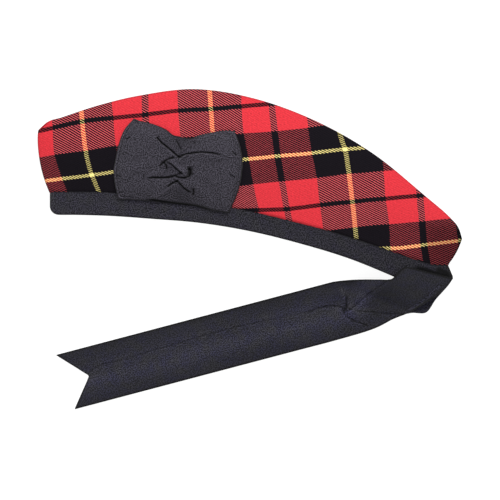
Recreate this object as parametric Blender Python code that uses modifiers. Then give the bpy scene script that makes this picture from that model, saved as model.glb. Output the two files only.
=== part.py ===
"""A boat-shaped side cap with ribbon tails, lying on its side as it is packed and shown.

Two cloth sides meet in seams at the front and the heel. A narrow crown is folded down between them,
a plain band binds the rim, a pinched bow is sewn on the upper side, and two ribbon tails leave the
back of the band. The plan of the cap lies in XY, with the front at -X and the crown at +Y, and +Z is
up from the surface. The origin is the middle of the whole outline, on the surface. Metres.
"""

import math
from collections import namedtuple

import bpy
import numpy as np

# Cap outline, seen from the side
CAP_LENGTH = 0.3078  # foremost point of the crown to the heel
CROWN_HEIGHT = 0.0911  # highest point of the ridge above the front of the rim
RIM_FRONT = 0.0082  # the band's front edge behind the foremost point
RIM_LENGTH = 0.2816  # the rim, front to back, measured along X
RIM_DROP = 0.0587  # how far the back of the rim lies below its front
BAND_WIDTH = 0.0170
FRONT_BULGE = 0.0036  # how far the front seam bows forward
HEEL_BULGE = 0.0016
HEEL_NIP = (0.0020, 0.0020)  # how far the cloth's lower rear corner draws forward and up
FRONT_CORNER = 0.0065  # radius of the band's lower front corner
BACK_CORNER = 0.0035
HEEL_POINT = 0.0068  # how far the band's folded end juts out behind the heel seam

# Walls and the spaces between them
WALL = 0.0022  # cloth, stiffening and facing of a side
CROWN_WALL = 0.0018
BAND_PROUD = 0.0006  # the band stands out from the cloth by this
CLEARANCE = 0.0003  # between pieces that touch
SEAM_GAP = 0.0004  # between the two sides at the front and heel seams
CROWN_CLEARANCE = 0.0005
MOUTH_GAP = 0.0185  # between the sides at the rim
BODY_GAP = 0.0215  # between the sides half way up
RIDGE_GAP = 0.0125  # between the sides at the ridge
FOLD_DEPTH = 0.0450  # how deep the crown is folded in
FOLD_RADIUS = 0.0018  # of the fold's bottom, at the middle of the wall
CROWN_INSET = 0.036  # share of the length at each end that has no crown
FRONT_LIFT = 0.0015  # the seams' ends stand this far off the surface
HEEL_LIFT = 0.0002  # above the under tail's own thickness

# Rosette, a ribbon bow pinched in the middle
ROSETTE_WIDTH = 0.0928
ROSETTE_HEIGHT = 0.0675
ROSETTE_AT = 0.1013  # centre behind the foremost point
ROSETTE_UP = 0.0341  # centre above the front of the rim
ROSETTE_EDGE = 0.0016  # thickness at its edge
ROSETTE_RISE = 0.0075  # thickness of its full lobes

# Tails
TAIL_WIDTH = 0.0412
TAIL_LENGTH = 0.1967  # the straight stretch, from the gather to the points
TAIL_ANGLE = 14.8  # degrees between the straight stretch and X
TAIL_THICKNESS = 0.0010
NOTCH_DEPTH = 0.0178
END_SLANT = 0.0030  # the lower point of the cut end falls short of the upper one
GATHER_AT = 0.2081  # where the straight stretch starts, behind the foremost point
GATHER_DOWN = 0.0715  # and below the front of the rim
GATHER_RISE = 0.0022  # puff of the cloth round the tacked pinch
TAIL_FALL = 0.0200  # distance beyond the rim within which the upper tail falls to the surface

Station = namedtuple("Station", "along rim_drop band ridge_along ridge_rise")
# Shares of RIM_LENGTH, RIM_DROP, BAND_WIDTH, CAP_LENGTH and CROWN_HEIGHT, front to heel.
OUTLINE = [
    Station(0.000, 0.000, 0.99, 0.0010, 0.6800),
    Station(0.020, 0.000, 0.99, 0.0210, 0.7390),
    Station(0.062, 0.000, 0.99, 0.0558, 0.7787),
    Station(0.153, 0.012, 1.00, 0.1406, 0.8718),
    Station(0.256, 0.046, 0.97, 0.2396, 0.9506),
    Station(0.385, 0.098, 0.86, 0.3715, 1.0000),
    Station(0.514, 0.200, 0.84, 0.5105, 0.9244),
    Station(0.643, 0.352, 0.84, 0.6518, 0.7500),
    Station(0.773, 0.543, 0.88, 0.7861, 0.4936),
    Station(0.902, 0.796, 1.02, 0.9110, 0.1529),
    Station(0.966, 0.930, 1.17, 0.9734, -0.0303),
    Station(0.986, 0.970, 1.26, 0.9895, -0.0990),
    Station(1.000, 1.000, 1.33, 0.9981, -0.1831),
]

Ray = namedtuple("Ray", "degrees reach")
# The bow's edge round its centre, as shares of half its width, counter-clockwise from the back.
BOW_OUTLINE = [
    Ray(5, 1.00),
    Ray(18, 1.02),
    Ray(32, 1.04),
    Ray(43, 0.80),
    Ray(57, 0.59),
    Ray(68, 0.48),
    Ray(86, 0.47),
    Ray(98, 0.51),
    Ray(106, 0.60),
    Ray(115, 0.71),
    Ray(124, 0.84),
    Ray(131, 1.01),
    Ray(146, 1.01),
    Ray(160, 0.98),
    Ray(172, 0.97),
    Ray(186, 1.00),
    Ray(200, 1.02),
    Ray(207, 1.04),
    Ray(221, 0.76),
    Ray(243, 0.60),
    Ray(273, 0.57),
    Ray(297, 0.67),
    Ray(307, 0.82),
    Ray(318, 1.04),
    Ray(328, 1.01),
    Ray(348, 0.98),
]

Crease = namedtuple("Crease", "start_x start_y end_x end_y depth width")
# The bow's folds, from its centre: places and widths as shares of half its width, depths of its rise.
# The last one stands up: the tuck that holds the bow's middle.
BOW_CREASES = [
    Crease(-0.30, 0.43, 0.05, 0.12, 0.40, 0.060),
    Crease(0.06, 0.16, 0.58, 0.20, 0.30, 0.060),
    Crease(-0.25, 0.02, -0.06, 0.14, 0.35, 0.055),
    Crease(-0.43, -0.17, 0.06, -0.08, 0.35, 0.060),
    Crease(0.01, -0.23, 0.16, -0.38, 0.25, 0.060),
    Crease(0.00, -0.22, -0.15, -0.31, 0.28, 0.060),
    Crease(0.16, -0.03, 0.21, -0.16, 0.42, 0.060),
    Crease(0.00, 0.48, 0.05, 0.19, 0.22, 0.080),
    Crease(-0.14, 0.08, 0.13, -0.11, -0.34, 0.085),
]

TailStation = namedtuple("TailStation", "upper_x upper_y lower_x lower_y")
# The tails' two edges from the band to the gather: places from the upper corner of the straight
# stretch as shares of TAIL_WIDTH.
UPPER_TAIL = [
    TailStation(1.52, 0.35, 2.37, 0.14),
    TailStation(1.41, 0.26, 2.28, 0.03),
    TailStation(1.28, 0.13, 2.08, -0.15),
    TailStation(1.06, 0.12, 1.79, -0.35),
    TailStation(0.81, 0.12, 1.58, -0.475),
    TailStation(0.56, 0.11, 1.32, -0.58),
    TailStation(0.32, 0.08, 0.95, -0.76),
]
UNDER_TAIL = [
    TailStation(1.62, 0.31, 2.385, 0.13),
    TailStation(1.48, 0.20, 2.285, -0.01),
    TailStation(1.34, 0.08, 2.08, -0.24),
    TailStation(1.09, 0.08, 1.91, -0.47),
    TailStation(0.84, 0.08, 1.64, -0.48),
    TailStation(0.60, 0.08, 1.37, -0.56),
    TailStation(0.35, 0.05, 0.95, -0.75),
]

CLOTH_RED = (0.72, 0.06, 0.08, 1.0)
BAND_BLACK = (0.026, 0.025, 0.032, 1.0)
ROSETTE_BLACK = (0.034, 0.032, 0.038, 1.0)
TAIL_BLACK = (0.022, 0.021, 0.028, 1.0)

ACROSS_SIDE = 13
ALONG_SIDE = 41
ALONG_CROWN = 37
ALONG_BAND = 34
ROUND_BOW = 66
RINGS_BOW = 11
ACROSS_TAIL = 11


def smooth_curve(at, places, values):
    """A smooth curve through the table's values: cubic pieces whose slope at a row is its neighbours' mean."""
    places = np.asarray(places, float)
    values = np.asarray(values, float)
    slopes = np.diff(values) / np.diff(places)
    tangents = np.concatenate([slopes[:1], (slopes[:-1] + slopes[1:]) / 2, slopes[-1:]])
    piece = np.clip(np.searchsorted(places, at, side="right") - 1, 0, len(places) - 2)
    span = places[piece + 1] - places[piece]
    t = (np.asarray(at, float) - places[piece]) / span
    return (
        values[piece] * (2 * t**3 - 3 * t**2 + 1)
        + values[piece + 1] * (3 * t**2 - 2 * t**3)
        + tangents[piece] * span * (t**3 - 2 * t**2 + t)
        + tangents[piece + 1] * span * (t**3 - t**2)
    )


def outline(column, u):
    """One column of the outline's table at the share u of the rim's length."""
    return smooth_curve(u, [s.along for s in OUTLINE], [getattr(s, column) for s in OUTLINE])


def near_end(u, reach):
    """1 at u = 0, falling to 0 with no kink at u = reach."""
    return np.clip(1 - u / reach, 0, 1) ** 2


def rim(u):
    """The rim's lower edge in plan."""
    return RIM_FRONT + RIM_LENGTH * u, -RIM_DROP * outline("rim_drop", u)


def ridge(u):
    """The sides' top edge in plan."""
    return CAP_LENGTH * outline("ridge_along", u), CROWN_HEIGHT * outline("ridge_rise", u)


def join(u):
    """Where band and cloth meet in plan: the band's width away from the rim, square to it."""
    step = 0.004
    ahead = rim(np.clip(u + step, 0, 1))
    behind = rim(np.clip(u - step, 0, 1))
    run, rise = ahead[0] - behind[0], ahead[1] - behind[1]
    size = np.hypot(run, rise)
    width = BAND_WIDTH * outline("band", u)
    x, y = rim(u)
    nip = near_end(1 - u, 0.06)
    return x - rise / size * width - HEEL_NIP[0] * nip, y + run / size * width + HEEL_NIP[1] * nip


def band_plan(u, t):
    """A point of the band in plan, from the rim at t = 0 to the join with the cloth at t = 1."""
    (rim_x, rim_y), (join_x, join_y) = rim(u), join(u)
    point = HEEL_POINT * np.interp(t, (0.0, 0.60, 1.0), (0.0, 1.0, 0.0)) * near_end(1 - u, 0.06)
    return rim_x * (1 - t) + join_x * t + point, rim_y * (1 - t) + join_y * t


def side_plan(u, v):
    """A side's point in plan, from the band at v = 0 to the ridge at v = 1."""
    (join_x, join_y), (ridge_x, ridge_y) = join(u), ridge(u)
    bow = np.sin(math.pi * np.clip(v, 0, 1)) ** 0.6
    x = join_x * (1 - v) + ridge_x * v
    x = x - FRONT_BULGE * bow * near_end(u, 0.15) + HEEL_BULGE * bow * near_end(1 - u, 0.10)
    return x, join_y * (1 - v) + ridge_y * v


def space_between(u, v):
    """The space between the two sides: nothing but the seam's gap at both ends, widest half way up."""
    belly = BODY_GAP - (MOUTH_GAP + RIDGE_GAP) / 2
    width = MOUTH_GAP * (1 - v) + RIDGE_GAP * v + 4 * v * (1 - v) * belly
    power = 0.80 * (1 - v) + 0.45 * v
    return SEAM_GAP + width * np.sin(math.pi * np.clip(u, 0, 1)) ** power


def lift(u):
    """How far the lower side stands off the surface, where its ends curl up and rest on the tail."""
    heel = TAIL_THICKNESS + CLEARANCE + HEEL_LIFT
    rise = np.clip((u - 0.66) / 0.22, 0, 1)
    return FRONT_LIFT * near_end(u, 0.25) + heel * rise**2 * (3 - 2 * rise)


def low_face(u, v):
    """Height of the lower side's outer face. Next to the band it stands in from the band's face."""
    return lift(u) + BAND_PROUD * near_end(v, 0.25)


def high_face(u, v):
    """Height of the upper side's outer face."""
    return low_face(u, v) + 2 * WALL + space_between(u, v)


def middle(u, v):
    """Height of the plane half way between the sides."""
    return low_face(u, v) + WALL + space_between(u, v) / 2


def chart(plan, x, y):
    """The shares u and v of the points x, y on one of the plans, found by Newton's steps."""
    u = np.clip((x - RIM_FRONT) / RIM_LENGTH, 0.01, 0.99)
    v = np.full_like(u, 0.5)
    tiny = 1e-4
    for _ in range(14):
        px, py = plan(u, v)
        ux, uy = plan(u + tiny, v)
        vx, vy = plan(u, v + tiny)
        a, b, c, d = (ux - px) / tiny, (vx - px) / tiny, (uy - py) / tiny, (vy - py) / tiny
        det = a * d - b * c
        ex, ey = x - px, y - py
        u = np.clip(u + (d * ex - b * ey) / det, 0.002, 0.998 - tiny)
        v = v + (a * ey - c * ex) / det
    return u, v


def seat_height(x, y):
    """Height at which a piece lies on the upper side, over cloth and band alike."""
    u, v = chart(side_plan, x, y)
    return high_face(u, np.clip(v, 0, 1)) + BAND_PROUD + CLEARANCE


def even_ends(count):
    """Shares from 0 to 1 that crowd together at both ends."""
    return (1 - np.cos(np.linspace(0, math.pi, count))) / 2


def grid_faces(rows, columns, close_rows=False, close_columns=False):
    """The quads of a grid of points kept row after row."""
    faces = []
    for i in range(rows if close_rows else rows - 1):
        for j in range(columns if close_columns else columns - 1):
            below, right = (i + 1) % rows, (j + 1) % columns
            faces.append(
                (i * columns + j, below * columns + j, below * columns + right, i * columns + right)
            )
    return faces


def new_piece(name, points, faces, material, flip=False):
    """A mesh object in the cap's collection."""
    mesh = bpy.data.meshes.new(name)
    mesh.from_pydata(np.asarray(points, float).reshape(-1, 3).tolist(), [], faces)
    if flip:
        mesh.flip_normals()
    mesh.shade_smooth()
    mesh.set_sharp_from_angle(angle=math.radians(50))
    mesh.materials.append(material)
    piece = bpy.data.objects.new(name, mesh)
    bpy.data.collections["side_cap"].objects.link(piece)
    return piece


def thicken(piece, thickness, offset):
    """Gives an open sheet its wall."""
    wall = piece.modifiers.new("Wall", "SOLIDIFY")
    wall.thickness = thickness
    wall.offset = offset
    return piece


def cloth_material(name, colour, roughness):
    material = bpy.data.materials.new(name)
    material.use_nodes = True
    shader = material.node_tree.nodes["Principled BSDF"]
    shader.inputs["Base Color"].default_value = colour
    shader.inputs["Roughness"].default_value = roughness
    shader.inputs["Metallic"].default_value = 0.0
    return material


def side(name, face, upper, material):
    """One side of the cap: an outer skin from the band to the ridge, thickened inwards."""
    u, v = np.meshgrid(even_ends(ALONG_SIDE), np.linspace(0, 1, ACROSS_SIDE), indexing="ij")
    x, y = side_plan(u, v)
    y = y + CLEARANCE * (1 - v)
    points = np.stack([x, y, face(u, v)], axis=-1)
    piece = new_piece(name, points, grid_faces(*u.shape), material, flip=not upper)
    return thicken(piece, WALL, offset=-1)


def crown(material):
    """The cloth between the two ridges, folded down into a deep narrow valley with a round bottom."""
    u = CROWN_INSET + (1 - 2 * CROWN_INSET) * even_ends(ALONG_CROWN)
    (join_x, join_y), (ridge_x, ridge_y) = join(u), ridge(u)
    height = np.hypot(ridge_x - join_x, ridge_y - join_y)
    least = CROWN_WALL / 2 + CLEARANCE / 2
    at_ridge = space_between(u, 1.0) / 2 - CROWN_CLEARANCE - CROWN_WALL / 2
    at_bottom = np.minimum(np.maximum(FOLD_RADIUS, least), at_ridge)
    depth = FOLD_DEPTH * np.sin(math.pi * u) ** 0.7
    straight = np.linspace(0, 1, 7)[:-1]
    turn = np.linspace(0, math.pi, 9)
    rows = []
    for t in straight:
        rows.append((t * (depth - at_bottom), at_ridge + (at_bottom - at_ridge) * t))
    for angle in turn:
        rows.append((depth - at_bottom + at_bottom * math.sin(angle), at_bottom * math.cos(angle)))
    for t in straight[::-1]:
        rows.append((t * (depth - at_bottom), -at_ridge - (at_bottom - at_ridge) * t))
    points = []
    for down, out in rows:
        v = 1 - (down + CLEARANCE) / height
        x, y = side_plan(u, v)
        points.append(np.stack([x, y, middle(u, v) + out], axis=-1))
    piece = new_piece("crown", points, grid_faces(len(rows), ALONG_CROWN), material)
    return thicken(piece, CROWN_WALL, offset=0)


def corner_shift(from_edge, radius):
    """How far a rounded corner draws an edge in, at a distance from the other edge."""
    left = np.clip(radius - from_edge, 0, radius)
    return radius - np.sqrt(radius**2 - left**2)


def band_ring(t, inner):
    """A closed ring of the band at the share t of its width: along the upper side, round the heel and back."""
    s = even_ends(ALONG_BAND)
    wall = (WALL + BAND_PROUD) / RIM_LENGTH if inner else 0.0
    u = wall + (1 - 2 * wall) * s
    (x, y), edge = band_plan(u, t), t * BAND_WIDTH
    x = x + corner_shift(edge, FRONT_CORNER) * near_end(u, 0.12)
    x = x - corner_shift(edge, BACK_CORNER) * near_end(1 - u, 0.10)
    space = space_between(u, 0.0)
    half = space / 2 if inner else space / 2 + WALL + BAND_PROUD
    from_nose = np.minimum(s, 1 - s) * (RIM_LENGTH * (1 - 2 * wall)) / half[0]
    half = half * np.sqrt(1 - (1 - np.minimum(from_nose, 1)) ** 2)
    centre = lift(u) + WALL + BAND_PROUD + space / 2
    high = np.stack([x, y, centre + half], axis=-1)
    low = np.stack([x, y, centre - half], axis=-1)
    return np.concatenate([high, low[-2:0:-1]])


def band(material):
    """The binding: one strip that runs round the whole rim, with rounded lower corners."""
    levels = [0.0, 0.03, 0.09, 0.19, 0.36, 0.66, 1.0]
    rings = [band_ring(t, inner=False) for t in levels]
    rings += [band_ring(t, inner=True) for t in (1.0, 0.36, 0.0)]
    points = np.array(rings)
    faces = grid_faces(len(rings), points.shape[1], close_rows=True, close_columns=True)
    return new_piece("band", points, faces, material, flip=True)


def distance_to(x, y, crease, unit):
    """Distance of points from the crease's line, and their place along it from 0 to 1."""
    ax, ay = crease.start_x * unit, crease.start_y * unit
    bx, by = crease.end_x * unit - ax, crease.end_y * unit - ay
    t = np.clip(((x - ax) * bx + (y - ay) * by) / (bx * bx + by * by), 0, 1)
    return np.hypot(x - ax - t * bx, y - ay - t * by), t


def bow_thickness(x, y, inwards):
    """Thickness of the bow at an offset from its centre: full lobes, a pinched waist and sunk creases.

    inwards is 0 at the edge and 1 at the centre.
    """
    unit = ROSETTE_WIDTH / 2
    lobe = np.sin(math.pi / 2 * np.clip(inwards / 0.45, 0, 1)) ** 0.8
    waist = np.exp(-((x / (0.30 * unit)) ** 2))
    full = (ROSETTE_RISE - ROSETTE_EDGE) * lobe * (1 - 0.30 * waist)
    for crease in BOW_CREASES:
        away, t = distance_to(x, y, crease, unit)
        fade = 0.35 + 0.65 * np.sin(math.pi * np.clip(t, 0.1, 0.9))
        full = full - crease.depth * ROSETTE_RISE * fade * lobe * np.exp(-((away / (crease.width * unit)) ** 2))
    return ROSETTE_EDGE + np.maximum(full, 0)


def bow_top(x, y, inwards):
    """Height of the bow's upper face at an offset from its centre."""
    seat = seat_height(ROSETTE_AT + x, ROSETTE_UP + y)
    return seat + bow_thickness(x, y, inwards)


def bow_reach(angle):
    """How far the bow's edge is from its centre, in a direction."""
    degrees = [ray.degrees for ray in BOW_OUTLINE] + [360]
    reach = [ray.reach for ray in BOW_OUTLINE] + [BOW_OUTLINE[0].reach]
    return ROSETTE_WIDTH / 2 * smooth_curve(np.degrees(angle) % 360, degrees, reach)


def bow_height_share(y):
    """Fits the outline, which is drawn for the bow's own proportions, to its height."""
    return y * (ROSETTE_HEIGHT / 0.727) / ROSETTE_WIDTH


def bow_grid(rings):
    """Offsets of the bow's rings from its centre, and how far inwards each one lies."""
    angle = np.linspace(0, 2 * math.pi, ROUND_BOW, endpoint=False)
    share, angle = np.meshgrid(rings, angle, indexing="ij")
    reach = bow_reach(angle) * share
    return reach * np.cos(angle), bow_height_share(reach * np.sin(angle)), 1 - share


def rosette(material):
    """The bow, a closed cushion of gathered ribbon whose back follows the side that it is sewn to."""
    rings = np.linspace(0.03, 1, RINGS_BOW) ** 0.8
    x, y, inwards = bow_grid(rings)
    top = np.stack([ROSETTE_AT + x, ROSETTE_UP + y, bow_top(x, y, inwards)], axis=-1)
    back_x, back_y, _ = bow_grid(rings[::-2])
    seat = seat_height(ROSETTE_AT + back_x, ROSETTE_UP + back_y)
    back = np.stack([ROSETTE_AT + back_x, ROSETTE_UP + back_y, seat], axis=-1)
    points = np.concatenate([top, back])
    faces = grid_faces(len(points), ROUND_BOW, close_columns=True)
    ring = list(range(ROUND_BOW))
    last = (len(points) - 1) * ROUND_BOW
    faces += [tuple(ring), tuple(last + i for i in ring[::-1])]
    return new_piece("rosette", points, faces, material)


def tail_plan(stations, narrowing):
    """The two edges of a tail in plan, from the band to its points."""
    turn = math.radians(TAIL_ANGLE)
    back = np.array([-math.cos(turn), -math.sin(turn)])
    down = np.array([math.sin(turn), -math.cos(turn)])
    corner = np.array([GATHER_AT, -GATHER_DOWN]) - down * TAIL_WIDTH / 2
    upper = [corner + TAIL_WIDTH * np.array([s.upper_x, s.upper_y]) for s in stations]
    lower = [corner + TAIL_WIDTH * np.array([s.lower_x, s.lower_y]) for s in stations]
    for share in np.linspace(0, 1, 9):
        upper.append(corner + back * TAIL_LENGTH * share)
        lower.append(corner + down * TAIL_WIDTH + back * (TAIL_LENGTH - END_SLANT) * share)
    upper, lower = np.array(upper), np.array(lower)
    inset = (lower - upper) * narrowing
    return upper + inset, lower - inset


def tail_grid(stations, narrowing):
    """A tail's points in plan, from the band to its end, which is cut to two points."""
    upper, lower = tail_plan(stations, narrowing)
    rows = np.arange(len(upper))
    fine = np.concatenate([np.linspace(0, len(stations), 15)[:-1], rows[len(stations) :]])
    across = np.linspace(0, 1, ACROSS_TAIL)
    edges = [smooth_curve(fine, rows, line[:, k]) for line in (upper, lower) for k in (0, 1)]
    x = edges[0][:, None] * (1 - across) + edges[2][:, None] * across
    y = edges[1][:, None] * (1 - across) + edges[3][:, None] * across
    share = np.clip((fine - len(stations)) / (rows[-1] - len(stations)), 0, 1)[:, None]
    notch = NOTCH_DEPTH * (1 - np.abs(2 * across - 1)) * share**2
    turn = math.radians(TAIL_ANGLE)
    return x + notch * math.cos(turn), y + notch * math.sin(turn)


def tail_under(material):
    """The tail that lies flat on the surface, below the heel of the cap and the other tail."""
    x, y = tail_grid(UNDER_TAIL, narrowing=0.004)
    points = np.stack([x, y, np.zeros_like(x)], axis=-1)
    piece = new_piece("tail_under", points, grid_faces(*x.shape), material, flip=True)
    return thicken(piece, TAIL_THICKNESS, offset=-1)


def tail_upper(material):
    """The tail sewn to the upper side's band. It falls to the surface and lies on the under tail."""
    x, y = tail_grid(UPPER_TAIL, narrowing=0.0)
    stack = TAIL_THICKNESS + CLEARANCE
    u, t = chart(band_plan, x, y)
    on_band = lift(u) + 2 * (WALL + BAND_PROUD) + space_between(u, 0.0) + CLEARANCE
    beyond = np.clip(-t * BAND_WIDTH * outline("band", u) / TAIL_FALL, 0, 1)
    fall = 1 - beyond**2 * (3 - 2 * beyond)
    start = np.array([GATHER_AT, -GATHER_DOWN]) + TAIL_WIDTH * np.array([0.25, 0.22])
    away = np.hypot(x - start[0], y - start[1]) / TAIL_WIDTH
    puff = GATHER_RISE * (np.exp(-((away / 0.45) ** 2)) - 0.6 * np.exp(-((away / 0.12) ** 2)))
    height = stack + (on_band - stack) * fall + puff * beyond
    points = np.stack([x, y, height], axis=-1)
    piece = new_piece("tail_upper", points, grid_faces(*x.shape), material, flip=True)
    return thicken(piece, TAIL_THICKNESS, offset=-1)


def rest_on_origin(pieces):
    """Moves the pieces' meshes so that the middle of their outline is at the origin, on the surface."""
    bpy.context.view_layer.update()
    graph = bpy.context.evaluated_depsgraph_get()
    corners = np.array([c for piece in pieces for c in piece.evaluated_get(graph).bound_box])
    low, high = corners.min(axis=0), corners.max(axis=0)
    shift = (-(low[0] + high[0]) / 2, -(low[1] + high[1]) / 2, -low[2])
    for piece in pieces:
        piece.location = shift


def main():
    for old in list(bpy.data.objects):
        bpy.data.objects.remove(old)
    collection = bpy.data.collections.new("side_cap")
    bpy.context.scene.collection.children.link(collection)
    plaid = cloth_material("plaid_cloth", CLOTH_RED, 0.85)
    binding = cloth_material("binding_cloth", BAND_BLACK, 0.80)
    bow_cloth = cloth_material("bow_ribbon", ROSETTE_BLACK, 0.75)
    ribbon = cloth_material("tail_ribbon", TAIL_BLACK, 0.70)
    pieces = [
        side("side_upper", high_face, True, plaid),
        side("side_lower", low_face, False, plaid),
        crown(plaid),
        band(binding),
        rosette(bow_cloth),
        tail_under(ribbon),
        tail_upper(ribbon),
    ]
    rest_on_origin(pieces)


main()
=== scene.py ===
"""Dresses the boat-shaped side cap: plaid twill sides and crown, dark band, pinched bow and ribbon tails.

Every shape is a numpy surface over two shares from 0 to 1, in the cap's own plan: x runs back from
the foremost point and y up from the front of the rim, both in metres, and PLAN_TO_ROW moves the plan
to the row frame. Heights are above the surface that the cap lies on.
"""

import logging
import math
from dataclasses import dataclass
from enum import Enum
from typing import Any, Mapping, Sequence

import bpy
import numpy as np
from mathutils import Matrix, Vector


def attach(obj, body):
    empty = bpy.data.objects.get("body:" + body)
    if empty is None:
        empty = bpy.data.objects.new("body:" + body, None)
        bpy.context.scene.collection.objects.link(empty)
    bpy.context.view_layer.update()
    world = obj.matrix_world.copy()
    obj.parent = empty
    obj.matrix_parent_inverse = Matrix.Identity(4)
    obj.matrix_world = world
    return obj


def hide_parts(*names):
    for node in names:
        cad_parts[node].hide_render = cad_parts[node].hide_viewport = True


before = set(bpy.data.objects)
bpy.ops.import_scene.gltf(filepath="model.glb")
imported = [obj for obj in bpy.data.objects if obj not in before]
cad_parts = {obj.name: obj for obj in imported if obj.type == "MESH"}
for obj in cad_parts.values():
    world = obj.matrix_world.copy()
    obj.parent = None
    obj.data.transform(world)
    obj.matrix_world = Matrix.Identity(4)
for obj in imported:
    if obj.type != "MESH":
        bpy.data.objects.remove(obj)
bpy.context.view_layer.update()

LOG = logging.getLogger("side_cap")
PLAN_TO_ROW = np.array([-0.1532316, 0.024891, 0.0])
UV_THREADS = 500.0  # threads in one unit of the plaid's UV map
UV_METRES = 0.5  # metres in one unit of the plain cloths' UV map
Array = np.ndarray
Socket = bpy.types.NodeSocket
Tree = bpy.types.NodeTree


# Numbers and curves


def smooth_curve(at: Array, places: Sequence[float], values: Sequence[float]) -> Array:
    """A cubic curve through a table's rows; its slope at a row is the mean of its neighbours' slopes.

    Args:
        at: places to evaluate.
        places: the table's places, rising.
        values: the table's values.

    Returns:
        The curve's values at those places.
    """
    places, values = np.asarray(places, float), np.asarray(values, float)
    slopes = np.diff(values) / np.diff(places)
    tangents = np.concatenate([slopes[:1], (slopes[:-1] + slopes[1:]) / 2, slopes[-1:]])
    piece = np.clip(np.searchsorted(places, at, side="right") - 1, 0, len(places) - 2)
    span = places[piece + 1] - places[piece]
    t = (np.asarray(at, float) - places[piece]) / span
    return (
        values[piece] * (2 * t**3 - 3 * t**2 + 1)
        + values[piece + 1] * (3 * t**2 - 2 * t**3)
        + tangents[piece] * span * (t**3 - 2 * t**2 + t)
        + tangents[piece + 1] * span * (t**3 - t**2)
    )


def ease(x: Array) -> Array:
    """0 below 0, 1 above 1, and 3x^2 - 2x^3 between."""
    x = np.clip(x, 0, 1)
    return x * x * (3 - 2 * x)


def near_end(share: Array, reach: float) -> Array:
    """1 at 0, falling as a square to 0 at the reach."""
    return np.clip(1 - share / reach, 0, 1) ** 2


def rounded(away: Array, radius: float) -> Array:
    """A quarter circle of the distance from an edge: 1 beyond the radius, and never under 0.05."""
    return np.maximum(np.sqrt(1 - (1 - np.clip(away / radius, 0, 1)) ** 2), 0.05)


def running(steps: Array, axis: int = 0) -> Array:
    """Running totals of steps, from 0."""
    return np.insert(np.cumsum(steps, axis=axis), 0, 0.0, axis=axis)


def bell(x: Array, width: float | Array) -> Array:
    """1 at 0, falling on both sides as exp(-(x / width)^2)."""
    return np.exp(-((x / width) ** 2))


def crowded(count: int) -> Array:
    """Shares from 0 to 1, half of a cosine wave, so that they crowd at both ends."""
    return (1 - np.cos(np.linspace(0, math.pi, count))) / 2


def spread(count: int, crowd: float) -> Array:
    """Shares from 0 to 1, a mean of the crowded ones and even ones, weighted by crowd."""
    return crowded(count) * crowd + np.linspace(0, 1, count) * (1 - crowd)


def to_line(x: Array, y: Array, line: Sequence[tuple[float, float]]) -> tuple[Array, Array, Array]:
    """Distance to a line of straight stretches: the nearest stretch counts.

    Args:
        x, y: places in the plan, in metres.
        line: the line's corners in millimetres of the same plan.

    Returns:
        Distance in metres, the side (+1 left of the line's course, -1 right), and the share along it.
    """
    corners = np.asarray(line, float) / 1000
    lengths = np.hypot(*np.diff(corners, axis=0).T)
    starts = running(lengths)
    best, side, along = np.full(x.shape, np.inf), np.ones(x.shape), np.zeros(x.shape)
    for k, length in enumerate(lengths):
        (ax, ay), (bx, by) = corners[k], corners[k + 1]
        t = np.clip(((x - ax) * (bx - ax) + (y - ay) * (by - ay)) / length**2, 0, 1)
        away = np.hypot(x - ax - t * (bx - ax), y - ay - t * (by - ay))
        closer = away < best
        best = np.where(closer, away, best)
        cross = (bx - ax) * (y - ay) - (by - ay) * (x - ax)
        side = np.where(closer, np.where(cross >= 0, 1.0, -1.0), side)
        along = np.where(closer, (starts[k] + t * length) / starts[-1], along)
    return best, side, along


@dataclass(frozen=True)
class Fold:
    """A line in the cloth, as a maker would mark it.

    A crease sinks along the line: its depth times a bell curve of the distance over its width. A lip
    is a layer that ends at the line: the left side (of the line's course) stands up by its rise, which
    fades with the distance over its reach.
    """

    line: tuple[tuple[float, float], ...]
    crease: float = 0.0  # mm, negative stands up
    width: float = 0.8  # mm
    lip: float = 0.0  # mm, negative for the right side
    reach: float = 6.0  # mm
    open_start: bool = False
    open_end: bool = False

    def relief(self, x: Array, y: Array) -> tuple[Array, Array]:
        """The fold's height and its shade at places in the plan.

        Both fade out over a fifth of the line at an end that isn't open. The shade is the crease's bell
        curve, as deep as 1.2 mm of crease makes black; a raised line and a lip's crest come out lighter.

        Args:
            x, y: places in metres.

        Returns:
            Height in metres, and shade from -1 to 1.
        """
        away, side, along = to_line(x, y, self.line)
        away, fade = away * 1000, np.ones(x.shape)
        if not self.open_start:
            fade = fade * ease(along / 0.20)
        if not self.open_end:
            fade = fade * ease((1 - along) / 0.20)
        dip = bell(away, self.width)
        facing = side * (1 if self.lip >= 0 else -1)
        step = 1 / (1 + np.exp(-np.clip(away * facing / 0.12, -30, 30)))
        rise = abs(self.lip) * step * np.exp(-away / self.reach)
        crest = bell(away - 1.9 * self.width, 0.8 * self.width) * step
        shade = np.clip(self.crease / 1.2, -0.30, 1.2) * dip - 0.30 * min(abs(self.lip), 1.0) * crest
        return (rise - self.crease * dip) * fade / 1000, shade * fade


def folded(folds: Sequence[Fold], x: Array, y: Array) -> tuple[Array, Array]:
    """The summed height of some folds in metres, and the strongest of their shades.

    Args:
        folds: the folds.
        x, y: places in metres.

    Returns:
        Height and shade.
    """
    height, dark, light = np.zeros(x.shape), np.zeros(x.shape), np.zeros(x.shape)
    for fold in folds:
        rise, shade = fold.relief(x, y)
        height += rise
        dark, light = np.maximum(dark, shade), np.minimum(light, shade)
    return height, dark + light


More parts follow.
